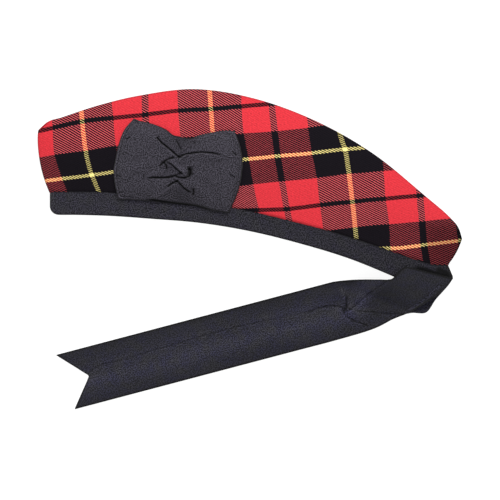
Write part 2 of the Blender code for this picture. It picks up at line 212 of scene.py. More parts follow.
def ripple(x: Array, y: Array, seed: int, size: float, count: int = 7) -> Array:
    """Slack in cloth: a sum of sine waves in scattered directions, about `size` metres long, within +-1.

    Args:
        x, y: places in metres.
        seed: starts the random draws.
        size: the waves' length.
        count: how many waves.

    Returns:
        The sum at each place.
    """
    chance = np.random.default_rng(seed)
    total = np.zeros(np.broadcast(x, y).shape)
    for _ in range(count):
        turn, phase = chance.uniform(0, math.tau, 2)
        length = size * chance.uniform(0.7, 1.5)
        total += np.sin((x * math.cos(turn) + y * math.sin(turn)) * math.tau / length + phase)
    return total / count * 1.6


# Meshes


def grid_quads(rows: int, columns: int, wrap_rows: bool = False, wrap_columns: bool = False) -> Array:
    """Quads of a grid kept row after row, facing the cross product of the row and column steps.

    Args:
        rows, columns: the grid's size.
        wrap_rows, wrap_columns: whether the last joins the first.

    Returns:
        Four point numbers a quad.
    """
    i = np.arange(rows if wrap_rows else rows - 1)[:, None]
    j = np.arange(columns if wrap_columns else columns - 1)[None, :]
    below, right = (i + 1) % rows, (j + 1) % columns
    quads = [i * columns + j, below * columns + j, below * columns + right, i * columns + right]
    return np.stack(np.broadcast_arrays(*quads), axis=-1).reshape(-1, 4)


def grid_normals(points: Array) -> Array:
    """Unit normals of a grid: the cross product of the steps along rows and columns."""
    normal = np.cross(np.gradient(points, axis=0), np.gradient(points, axis=1))
    return normal / np.maximum(np.linalg.norm(normal, axis=-1, keepdims=True), 1e-12)


def edge_distance(points: Array) -> Array:
    """Distance of each grid point from the nearest of the four edges, along its row or column."""
    down, across = (running(np.linalg.norm(np.diff(points, axis=a), axis=-1), a) for a in (0, 1))
    return np.minimum(np.minimum(down, down[-1] - down), np.minimum(across, across[:, -1:] - across))


def closed_between(top: Array, bottom: Array) -> tuple[Array, Array]:
    """Points and quads of the closed body between two grids that lie over each other.

    Args:
        top, bottom: the grids, of one size.

    Returns:
        Points, the top's first, and quads.
    """
    rows, columns = top.shape[:2]
    index = np.arange(rows * columns).reshape(rows, columns)
    faces = grid_quads(rows, columns)
    rim = np.concatenate([index[:-1, 0], index[-1, :-1], index[:0:-1, -1], index[0, :0:-1]])
    after, low = np.roll(rim, -1), rows * columns
    wall = np.stack([after, rim, rim + low, after + low], axis=-1)
    points = np.concatenate([top.reshape(-1, 3), bottom.reshape(-1, 3)])
    return points, np.concatenate([faces, faces[:, ::-1] + low, wall])


def cloth_body(face: Array, thickness: float, outward: int = 1) -> tuple[Array, Array]:
    """A sheet of cloth with a turned, rounded edge all round.

    The middle of the sheet lies half a thickness under the face, along its normal. Both faces stand
    from it by half the thickness times a quarter circle of the distance from the edge.

    Args:
        face: the outer face's points.
        thickness: of the sheet.
        outward: 1 where the grid's normals point outwards, else -1.

    Returns:
        Points and quads.
    """
    normal = grid_normals(face) * outward
    half = thickness / 2
    full = rounded(edge_distance(face), half)[..., None]
    middle = face - normal * half
    points, quads = closed_between(middle + normal * half * full, middle - normal * half * full)
    return points, quads if outward > 0 else quads[:, ::-1]


def add_object(name: str, data: bpy.types.ID) -> bpy.types.Object:
    """A new object in the scene.

    Args:
        name: its name.
        data: the mesh, light or camera that it shows.

    Returns:
        The object.
    """
    made = bpy.data.objects.new(name, data)
    bpy.context.scene.collection.objects.link(made)
    return made


def new_piece(
    name: str,
    body: tuple[Array, Array],
    cloth: Array,
    material: bpy.types.Material,
    nodes: Sequence[str],
    shade: Array | None = None,
) -> bpy.types.Object:
    """Args:
        name: the piece's name.
        body: points in the cap's plan and quads.
        cloth: each point's place in the cloth, as the material's UV map wants it.
        material: its finish.
        nodes: the CAD nodes that it stands for.
        shade: each point's shade, 1 in the depth of a crease or under an edge, below 0 on a raised line.

    Returns:
        The object, at the origin, riding on the root.
    """
    points, quads = body
    points = points + PLAN_TO_ROW
    mesh = bpy.data.meshes.new(name)
    mesh.vertices.add(len(points))
    mesh.vertices.foreach_set("co", points.astype(np.float32).ravel())
    mesh.loops.add(quads.size)
    mesh.loops.foreach_set("vertex_index", quads.astype(np.int32).ravel())
    mesh.polygons.add(len(quads))
    mesh.polygons.foreach_set("loop_start", np.arange(0, quads.size, 4, dtype=np.int32))
    mesh.polygons.foreach_set("use_smooth", np.ones(len(quads), dtype=bool))
    mesh.update(calc_edges=True)
    layer = mesh.uv_layers.new(name="cloth")
    layer.data.foreach_set("uv", cloth[quads.ravel()].astype(np.float32).ravel())
    if shade is not None:
        depth = mesh.attributes.new("shade", "FLOAT", "POINT")
        depth.data.foreach_set("value", shade.astype(np.float32).ravel())
    mesh.materials.append(material)
    piece = add_object(name, mesh)
    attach(piece, "root")
    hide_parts(*nodes)
    LOG.info("%s: %d faces, stands for %s", name, len(quads), ", ".join(nodes))
    return piece


# Finishes


def linear(colour: str) -> tuple[float, float, float, float]:
    """A sRGB hex colour as the linear colour that the shaders work in."""
    parts = [int(colour[k : k + 2], 16) / 255 for k in (1, 3, 5)]
    return (*[p / 12.92 if p <= 0.04045 else ((p + 0.055) / 1.055) ** 2.4 for p in parts], 1.0)


def new_material(name: str) -> tuple[bpy.types.Material, Tree, bpy.types.Node]:
    """A new material with nodes.

    Args:
        name: its name.

    Returns:
        The material, its tree and its main shader.
    """
    made = bpy.data.materials.new(name)
    made.use_nodes = True
    return made, made.node_tree, made.node_tree.nodes["Principled BSDF"]


def wire(node: bpy.types.Node, inputs: Mapping[Any, Any]) -> None:
    """Links a node's inputs to sockets, or sets them to values, by name or number.

    Args:
        node: the node.
        inputs: by name or number, a socket or a value.
    """
    for key, value in inputs.items():
        if isinstance(value, Socket):
            node.id_data.links.new(value, node.inputs[key])
        else:
            node.inputs[key].default_value = value


def add_node(
    tree: Tree, kind: str, inputs: Mapping[Any, Any] | None = None, out: str | int = 0, **settings: Any
) -> Socket:
    """Adds a node.

    Args:
        tree: the material's nodes.
        kind: Blender's name of the node type, after "ShaderNode".
        inputs: by name or number, a socket to link or a value to set.
        out: the output that is wanted, by name or number.
        **settings: the node's own properties.

    Returns:
        The output's socket.
    """
    node = tree.nodes.new("ShaderNode" + kind)
    for key, value in settings.items():
        setattr(node, key, value)
    wire(node, inputs or {})
    return node.outputs[out]


@dataclass(frozen=True)
class PlaidTwill:
    """Woven wool twill in a traditional red and black plaid with a thin black and a yellow line.

    Both directions have the same stripes: thin black line, red, black, yellow line, and back over the
    same. Where two colours cross, the 2/2 twill shows them as fine diagonal lines. The wool is matte
    with a little fuzz, which gives the eye a soft edge on each stripe.
    """

    red: str = "#CB2B35"
    black: str = "#0C0B11"
    yellow: str = "#F8E78F"
    lit: str = "#F2B8BC"  # painted highlight on the lighter yarn where it rides over the darker one
    lit_share: float = 0.12
    half_repeat: float = 68.0  # threads from the middle of the black line to the middle of the yellow
    black_lines: tuple[float, float] = (3.2, 2.65)  # threads, half the upright and the level line's width
    yellow_line: float = 2.4  # threads, half its width
    change: float = 34.0  # threads from the black line's middle to the change of ground
    stray: float = 0.9  # threads, how far the yarn wanders in all
    level_lead: float = 0.20  # how far the level yarn stands over the upright one, as the eye reads it
    dark_lead: float = 0.68  # how far a darker yarn stands over a lighter one
    lead_loss: float = 0.17  # how much of that goes where the two are as far apart as black and white
    line_gain: float = 0.06  # the thin level black line's stand, against the broad black's
    twill_across: float = 3.65  # threads: 2.5 mm at 0.69 mm a thread, as coarse as the cap shows it
    twill_up: float = 3.05  # threads: 1.7 mm at 0.565 mm a thread
    roughness: float = 0.86
    specular: float = 0.06

    def places(self, tree: Tree, threads: Socket) -> tuple[Socket, Socket]:
        """Places across the upright and the level stripes, in threads, with the yarn's wandering.

        Args:
            tree: the material's nodes.
            threads: the place in the cloth, in threads.

        Returns:
            The place across the upright and across the level stripes.
        """
        # The wander's waves are about 15 threads long.
        wander = add_node(tree, "TexNoise", {"Vector": threads, "Scale": 0.065, "Detail": 2.0}, out="Color")
        level = add_node(tree, "VectorMath", {0: wander, 1: (0.5,) * 3}, operation="SUBTRACT")
        shifted = {0: level, 1: (self.stray, self.stray, 0.0), 2: threads}
        shifted = add_node(tree, "VectorMath", shifted, operation="MULTIPLY_ADD")
        split = add_node(tree, "SeparateXYZ", {0: shifted}).node
        return split.outputs["X"], split.outputs["Y"]

    def stripe(self, tree: Tree, place: Socket, black_line: float) -> tuple[Socket, Socket]:
        """The yarns' colour in one direction: the place folds over the half repeat, and steps colour it.

        Args:
            tree: the material's nodes.
            place: the place across the stripes, in threads.
            black_line: half the width of the thin black line, in threads.

        Returns:
            The colour, and the folded place as a share of the half repeat.
        """
        half = self.half_repeat
        fold = add_node(tree, "Math", {0: place, 1: half}, operation="PINGPONG")
        share = add_node(tree, "Math", {0: fold, 1: half}, operation="DIVIDE")
        ramp = add_node(tree, "ValToRGB", {0: share}).node
        ramp.color_ramp.interpolation = "CONSTANT"
        stops = [
            (0.0, self.black),
            (black_line / half, self.red),
            (self.change / half, self.black),
            (1 - self.yellow_line / half, self.yellow),
        ]
        while len(ramp.color_ramp.elements) < len(stops):
            ramp.color_ramp.elements.new(0.5)
        for element, (position, colour) in zip(ramp.color_ramp.elements, stops):
            element.position = position
            element.color = linear(colour)
        return ramp.outputs["Color"], share

    def wave(self, tree: Tree, across: Socket, up: Socket) -> Socket:
        """The twill's diagonal lines: sin(2 pi (across / twill_across - up / twill_up)).

        Args:
            tree: the material's nodes.
            across, up: the place in the cloth, in threads.

        Returns:
            The wave, from -1 to 1.
        """
        turn = math.tau / self.twill_across
        across = add_node(tree, "Math", {0: across, 1: turn}, operation="MULTIPLY")
        turn = -math.tau / self.twill_up
        both = add_node(tree, "Math", {0: up, 1: turn, 2: across}, operation="MULTIPLY_ADD")
        return add_node(tree, "Math", {0: both}, operation="SINE")

    def level_on_top(self, tree: Tree, wave: Socket, lighter: Socket, apart: Socket, line: Socket) -> Socket:
        """How much of the level yarn shows: where the wave and the yarns' leads together pass 0.

        Args:
            tree: the material's nodes.
            wave: the twill's wave, from -1 to 1.
            lighter: the upright yarn's grey less the level yarn's.
            apart: the size of that difference.
            line: 1 on the thin level black line.

        Returns:
            1 where the level yarn is on top, 0 where the upright one is, with a narrow soft change.
        """
        sign = add_node(tree, "Math", {0: lighter, 1: apart}, operation="DIVIDE")
        lead = {0: apart, 1: -self.lead_loss, 2: self.dark_lead}
        lead = add_node(tree, "Math", lead, operation="MULTIPLY_ADD")
        lead = add_node(tree, "Math", {0: line, 1: self.line_gain, 2: lead}, operation="MULTIPLY_ADD")
        base = add_node(tree, "Math", {0: wave, 1: self.level_lead}, operation="ADD")
        over = add_node(tree, "Math", {0: sign, 1: lead, 2: base}, operation="MULTIPLY_ADD")
        change = {"Value": over, "From Min": -0.15, "From Max": 0.15}
        return add_node(tree, "MapRange", change, interpolation_type="SMOOTHSTEP")

    def painted_highlight_share(
        self, tree: Tree, wave: Socket, crossed: Socket, greys: Sequence[Socket], apart: Socket, line: Socket
    ) -> Socket:
        """How much of the painted highlight shows on the cloth.

        Args:
            tree: the material's nodes.
            wave: the twill's wave, from -1 to 1.
            crossed: the colour of the yarn on top.
            greys: the upright and the level yarn's greys.
            apart: how far the greys are apart.
            line: 1 on the thin level black line.

        Returns:
            The share: lit_share where the lighter yarn rides on top, but none on the thin level black
            line and on the yellow, plus faint lines within one colour.
        """
        shown = add_node(tree, "RGBToBW", {0: crossed})
        darker = add_node(tree, "Math", {0: greys[0], 1: greys[1]}, operation="MINIMUM")
        above = add_node(tree, "Math", {0: shown, 1: darker}, operation="SUBTRACT")
        riding = add_node(tree, "Math", {0: above, 1: apart}, operation="DIVIDE")
        bright = add_node(tree, "Math", {0: apart, 1: 0.3}, operation="GREATER_THAN")
        bare = add_node(tree, "Math", {0: line, 1: bright}, operation="MAXIMUM")
        lit = {0: bare, 1: -self.lit_share, 2: self.lit_share}
        lit = add_node(tree, "Math", lit, operation="MULTIPLY_ADD")
        # Within one colour the twill shows as faint paler lines of painted highlight on its crests, on the
        # red more than on the black.
        body = add_node(tree, "Math", {0: shown, 1: 0.020}, operation="MAXIMUM")
        body = add_node(tree, "Math", {0: body, 1: 0.15}, operation="MINIMUM")
        crest = add_node(tree, "Math", {0: wave, 1: 0.12, 2: 0.12}, operation="MULTIPLY_ADD")
        faint = add_node(tree, "Math", {0: body, 1: crest}, operation="MULTIPLY")
        return add_node(tree, "Math", {0: riding, 1: lit, 2: faint}, operation="MULTIPLY_ADD")

    def material(self) -> bpy.types.Material:
        """Makes the finish, which reads the plaid's UV map and each point's shade.

        Returns:
            The material.
        """
        made, tree, shader = new_material("wool_plaid_twill")
        cloth = add_node(tree, "UVMap", uv_map="cloth")
        threads = add_node(tree, "VectorMath", {0: cloth, 1: (UV_THREADS,) * 3}, operation="MULTIPLY")
        across, up = self.places(tree, threads)
        upright, _ = self.stripe(tree, across, self.black_lines[0])
        level, share = self.stripe(tree, up, self.black_lines[1])
        wave = self.wave(tree, across, up)
        greys = [add_node(tree, "RGBToBW", {0: colour}) for colour in (upright, level)]
        lighter = add_node(tree, "Math", {0: greys[0], 1: greys[1]}, operation="SUBTRACT")
        apart = add_node(tree, "Math", {0: lighter}, operation="ABSOLUTE")
        apart = add_node(tree, "Math", {0: apart, 1: 0.03}, operation="MAXIMUM")
        edge = self.black_lines[1] / self.half_repeat
        line = add_node(tree, "Math", {0: share, 1: edge}, operation="LESS_THAN")
        on_top = self.level_on_top(tree, wave, lighter, apart, line)
        crossed = add_node(tree, "Mix", {0: on_top, 6: upright, 7: level}, out=2, data_type="RGBA")
        # Painted highlight where the lighter yarn rides on top and on the twill's crests.
        painted_highlight = self.painted_highlight_share(tree, wave, crossed, greys, apart, line)
        crossed = add_node(tree, "Mix", {0: painted_highlight, 6: crossed, 7: linear(self.lit)}, out=2, data_type="RGBA")
        # Fuzz about two threads across lightens and darkens the cloth.
        fuzz = add_node(tree, "TexNoise", {"Vector": threads, "Scale": 0.55, "Detail": 5.0})
        shade = {"Value": fuzz, "From Min": 0.25, "From Max": 0.75, "To Min": 0.74, "To Max": 1.20}
        shade = add_node(tree, "MapRange", shade)
        # Each point's shade paints shade into the colour, down to a tenth at full shade; the fuzz's tone is
        # the cloth's own.
        depth = add_node(tree, "Attribute", out="Fac", attribute_name="shade")
        dim = add_node(tree, "MapRange", {"Value": depth, "To Min": 1.0, "To Max": 0.1})
        tone = add_node(tree, "Math", {0: shade, 1: dim}, operation="MULTIPLY")
        fuzz_and_painted_shade = add_node(tree, "HueSaturation", {"Color": crossed, "Value": tone})
        grain = add_node(tree, "Math", {0: fuzz, 1: 1.2, 2: wave}, operation="MULTIPLY_ADD")
        # The bump stands for a tenth of a millimetre of yarn.
        bump = add_node(tree, "Bump", {"Height": grain, "Strength": 0.35, "Distance": 0.0001})
        wire(shader, {"Base Color": fuzz_and_painted_shade, "Normal": bump})
        wire(shader, {"Roughness": self.roughness, "Specular IOR Level": self.specular})
        return made


@dataclass(frozen=True)
class DarkCloth:
    """A plain dark woven cloth or ribbon.

    Fine ribs cross the yarn, soft mottling gives the eye the uneven dye and nap of real cloth, and streaks
    along it are painted sheen.
    Lengths are in millimetres of cloth.
    """

    name: str
    colour: str
    light: str  # where the nap catches the light
    cast: str  # the same where the dye leans to blue or violet
    rib: float  # mm between ribs, drawn about twice as coarse as real so that they show
    mottle: float  # mm
    grain: float  # how much the finest mottling shows
    unevenness: float  # how much the coarse mottling shows
    bump: float  # mm
    roughness: float
    sheen: float
    diagonal: float = 0.0  # how far the ribs lean, 0 for straight across
    streak: float = 0.0  # how much the streaks of painted sheen along the cloth show
    streak_size: tuple[float, float] = (55.0, 9.0)  # mm, along and across the cloth
    patch: float = 8.0  # mm, the length of the patches where the dye leans to blue
    grain_scale: float = 1.3  # grains in a millimetre, coarser than yarn so that they show

    def mottled(self, tree: Tree, place: Socket, grain: Socket) -> Socket:
        """The weighted sum of grain, coarse mottling and streaks, cut to 0 to 1 round its middle.

        Args:
            tree: the material's nodes.
            place: the place in the cloth, in mm.
            grain: the finest mottling.

        Returns:
            0 where the nap is dark, 1 where it catches the light.
        """
        nap = add_node(tree, "TexNoise", {"Vector": place, "Scale": 1 / self.mottle, "Detail": 1.0})
        # Streaks along the cloth are painted sheen.
        long, wide = self.streak_size
        drawn = add_node(tree, "VectorMath", {0: place, 1: (1 / long, 1 / wide, 1.0)}, operation="MULTIPLY")
        streaks = add_node(tree, "TexNoise", {"Vector": drawn, "Scale": 1.0, "Detail": 1.0})
        weights = (self.grain, self.unevenness, self.streak)
        total = add_node(tree, "Math", {0: grain, 1: weights[0]}, operation="MULTIPLY")
        for noise, weight in zip((nap, streaks), weights[1:]):
            total = add_node(tree, "Math", {0: noise, 1: weight, 2: total}, operation="MULTIPLY_ADD")
        middle = sum(weights) / 2
        cut = {"Value": total, "From Min": middle - 0.5, "From Max": middle + 0.5}
        return add_node(tree, "MapRange", cut)

    def material(self) -> bpy.types.Material:
        """Makes the finish, which reads the cloth's UV map and each point's shade.

        Returns:
            The material.
        """
        made, tree, shader = new_material(self.name)
        cloth = add_node(tree, "UVMap", uv_map="cloth")
        scale = (UV_METRES * 1000,) * 3
        place = add_node(tree, "VectorMath", {0: cloth, 1: scale}, operation="MULTIPLY")
        split = add_node(tree, "SeparateXYZ", {0: place}).node
        lean = {0: split.outputs["Y"], 1: self.diagonal, 2: split.outputs["X"]}
        lean = add_node(tree, "Math", lean, operation="MULTIPLY_ADD")
        turns = add_node(tree, "Math", {0: lean, 1: math.tau / self.rib}, operation="MULTIPLY")
        ribs = add_node(tree, "Math", {0: turns}, operation="SINE")
        grain = add_node(tree, "TexNoise", {"Vector": place, "Scale": self.grain_scale, "Detail": 2.0})
        share = self.mottled(tree, place, grain)
        patches = add_node(tree, "TexNoise", {"Vector": place, "Scale": 1 / self.patch, "Detail": 2.0})
        leaning = add_node(tree, "MapRange", {"Value": patches, "From Min": 0.35, "From Max": 0.65})
        high = {0: leaning, 6: linear(self.light), 7: linear(self.cast)}
        high = add_node(tree, "Mix", high, out=2, data_type="RGBA")
        plain = add_node(tree, "Mix", {0: share, 6: linear(self.colour), 7: high}, out=2, data_type="RGBA")
        # Each point's shade paints shade into the colour, and painted light where it is below 0.
        depth = add_node(tree, "Attribute", out="Fac", attribute_name="shade")
        dim = add_node(tree, "MapRange", {"Value": depth, "From Min": -1.0, "To Min": 1.94, "To Max": 0.06})
        tint = add_node(tree, "HueSaturation", {"Color": plain, "Value": dim})
        height = add_node(tree, "Math", {0: grain, 1: 2.5, 2: ribs}, operation="MULTIPLY_ADD")
        bump = {"Height": height, "Strength": 0.6, "Distance": self.bump / 1000}
        wire(shader, {"Base Color": tint, "Normal": add_node(tree, "Bump", bump)})
        wire(shader, {"Roughness": self.roughness, "Specular IOR Level": 0.16})
        wire(shader, {"Sheen Weight": self.sheen, "Sheen Roughness": 0.45})
        return made


PLAID = PlaidTwill()
# Wool braid: leaning ribs, matte and evenly dark.
BAND_CLOTH = DarkCloth(
    "wool_binding_cloth", "#030305", "#37363C", "#35333F", rib=0.9, mottle=5.0, grain=6.5, unevenness=0.25,
    bump=0.12, roughness=0.9, sheen=0.05, diagonal=0.6,
)
# Cotton ribbon: straight fine ribs, a little lighter where the nap is brushed.
BOW_CLOTH = DarkCloth(
    "cotton_bow_ribbon", "#09080B", "#494650", "#46434D", rib=0.8, mottle=4.0, grain=4.8, unevenness=0.20,
    bump=0.09, roughness=0.88, sheen=0.06,
)
# Satin-backed ribbon: smoother, with streaks of painted sheen along it that lean to violet.
TAIL_CLOTH = DarkCloth(
    "satin_backed_tail_ribbon", "#040407", "#3A3941", "#343348", rib=0.8, mottle=7.0, grain=6.5,
    unevenness=0.20, bump=0.12, roughness=0.62, sheen=0.06, diagonal=0.35, streak=0.50,
)


# The cap's form


class Layer(Enum):
    """Which of two pieces that lie over each other."""

    UPPER = "upper"
    LOWER = "lower"


@dataclass
class CapForm:
    """The cap's outline in plan and its heights, all from the same sizes as the solids."""

    cap_length: float = 0.3078
    crown_height: float = 0.0911
    rim_front: float = 0.0082  # how far behind the foremost point the rim starts
    rim_length: float = 0.2816
    rim_drop: float = 0.0587  # how far the rim falls from front to heel
    band_width: float = 0.0170
    front_bulge: float = 0.0036
    heel_bulge: float = 0.0016
    heel_point: float = 0.0068  # how far the band's end is drawn out to a point
    heel_nip: tuple[float, float] = (0.0020, 0.0020)  # how far the cloth's rear corner draws in and up
    wall: float = 0.0022
    band_proud: float = 0.0006  # how far the band stands off the cloth
    clearance: float = 0.0003
    seam_gap: float = 0.0004  # space between the sides at both ends
    mouth_gap: float = 0.0185  # at the rim
    body_gap: float = 0.0215  # half way up
    ridge_gap: float = 0.0125  # at the ridge
    front_lift: float = 0.0015
    heel_lift: float = 0.0015
    # Share of the rim's length, then shares of rim_drop, band_width, cap_length and crown_height.
    outline: tuple[tuple[float, ...], ...] = (
        (0.000, 0.000, 0.99, 0.0010, 0.6800),
        (0.020, 0.000, 0.99, 0.0210, 0.7390),
        (0.062, 0.000, 0.99, 0.0558, 0.7787),
        (0.153, 0.012, 1.00, 0.1406, 0.8718),
        (0.256, 0.046, 0.97, 0.2396, 0.9506),
        (0.385, 0.098, 0.86, 0.3715, 1.0000),
        (0.514, 0.200, 0.84, 0.5105, 0.9244),
        (0.643, 0.352, 0.84, 0.6518, 0.7500),
        (0.773, 0.543, 0.88, 0.7861, 0.4936),
        (0.902, 0.796, 1.02, 0.9110, 0.1529),
        (0.966, 0.930, 1.17, 0.9734, -0.0303),
        (0.986, 0.970, 1.26, 0.9895, -0.0990),
        (1.000, 1.000, 1.33, 0.9981, -0.1831),
    )

    def column(self, which: int, u: Array) -> Array:
        """One column of the outline's table at the share u of the rim."""
        return smooth_curve(u, [row[0] for row in self.outline], [row[which] for row in self.outline])

    def rim(self, u: Array) -> tuple[Array, Array]:
        """The rim's lower edge."""
        return self.rim_front + self.rim_length * u, -self.rim_drop * self.column(1, u)

    def ridge(self, u: Array) -> tuple[Array, Array]:
        """The sides' top edge."""
        return self.cap_length * self.column(3, u), self.crown_height * self.column(4, u)

    def band_size(self, u: Array) -> Array:
        """The band's width."""
        return self.band_width * self.column(2, u)

    def join(self, u: Array) -> tuple[Array, Array]:
        """Where band and cloth meet: the band's width from the rim, square to it, nipped in at the heel.

        Args:
            u: share of the rim.

        Returns:
            x and y.
        """
        ahead, behind = self.rim(np.clip(u + 0.004, 0, 1)), self.rim(np.clip(u - 0.004, 0, 1))
        run, rise = ahead[0] - behind[0], ahead[1] - behind[1]
        size, (x, y), nip = np.hypot(run, rise), self.rim(u), near_end(1 - u, 0.06)
        x, y = x - rise / size * self.band_size(u), y + run / size * self.band_size(u)
        return x - self.heel_nip[0] * nip, y + self.heel_nip[1] * nip

    def band_plan(self, u: Array, t: Array) -> tuple[Array, Array]:
        """A point of the band, from the rim at t = 0 to the join at t = 1.

        Args:
            u: share of the rim.
            t: share of the band's width.

        Returns:
            x and y.
        """
        (rim_x, rim_y), (join_x, join_y) = self.rim(u), self.join(u)
        point = self.heel_point * np.interp(t, (0.0, 0.60, 1.0), (0.0, 1.0, 0.0)) * near_end(1 - u, 0.06)
        return rim_x * (1 - t) + join_x * t + point, rim_y * (1 - t) + join_y * t

    def side_plan(self, u: Array, v: Array) -> tuple[Array, Array]:
        """A point of a side, from the join at v = 0 to the ridge at v = 1, bowed at both ends.

        Args:
            u: share of the rim.
            v: share of the way up.

        Returns:
            x and y.
        """
        (join_x, join_y), (ridge_x, ridge_y) = self.join(u), self.ridge(u)
        bow = np.sin(math.pi * np.clip(v, 0, 1)) ** 0.6
        x = join_x * (1 - v) + ridge_x * v
        x = x - self.front_bulge * bow * near_end(u, 0.15) + self.heel_bulge * bow * near_end(1 - u, 0.10)
        return x, join_y * (1 - v) + ridge_y * v

    def space(self, u: Array, v: Array | float) -> Array:
        """Space between the sides: the seam's gap at both ends, widest half way up.

        Args:
            u: share of the rim.
            v: share of the way up.

        Returns:
            The space in metres.
        """
        belly = self.body_gap - (self.mouth_gap + self.ridge_gap) / 2
        width = self.mouth_gap * (1 - v) + self.ridge_gap * v + 4 * v * (1 - v) * belly
        return self.seam_gap + width * np.sin(math.pi * np.clip(u, 0, 1)) ** (0.80 * (1 - v) + 0.45 * v)

    def lift(self, u: Array) -> Array:
        """How far the lower side stands off the surface."""
        return self.front_lift * near_end(u, 0.25) + self.heel_lift * ease((u - 0.66) / 0.22)

    def low_face(self, u: Array, v: Array) -> Array:
        """Height of the lower side's outer face."""
        return self.lift(u) + self.band_proud * near_end(v, 0.25)

    def high_face(self, u: Array, v: Array) -> Array:
        """Height of the upper side's outer face."""
        return self.low_face(u, v) + 2 * self.wall + self.space(u, v)

    def middle(self, u: Array, v: Array) -> Array:
        """Height half way between the sides."""
        return self.low_face(u, v) + self.wall + self.space(u, v) / 2

    def chart(self, plan: Any, x: Array, y: Array) -> tuple[Array, Array]:
        """The two shares of points on one of the plans, found by Newton's steps.

        Args:
            plan: gives x and y from the two shares.
            x, y: the points.

        Returns:
            The two shares.
        """
        u = np.clip((x - self.rim_front) / self.rim_length, 0.01, 0.99)
        v, tiny = np.full_like(u, 0.5), 1e-4
        for _ in range(14):
            (px, py), (ux, uy), (vx, vy) = plan(u, v), plan(u + tiny, v), plan(u, v + tiny)
            a, b, c, d = (ux - px) / tiny, (vx - px) / tiny, (uy - py) / tiny, (vy - py) / tiny
            det, ex, ey = a * d - b * c, x - px, y - py
            u = np.clip(u + (d * ex - b * ey) / det, 0.002, 0.998 - tiny)
            v = v + (a * ey - c * ex) / det
        return u, v

    def seat(self, x: Array, y: Array) -> Array:
        """Height at which a piece lies on the upper side, over cloth and band alike."""
        u, v = self.chart(self.side_plan, x, y)
        return self.high_face(u, np.clip(v, 0, 1)) + self.band_proud + self.clearance


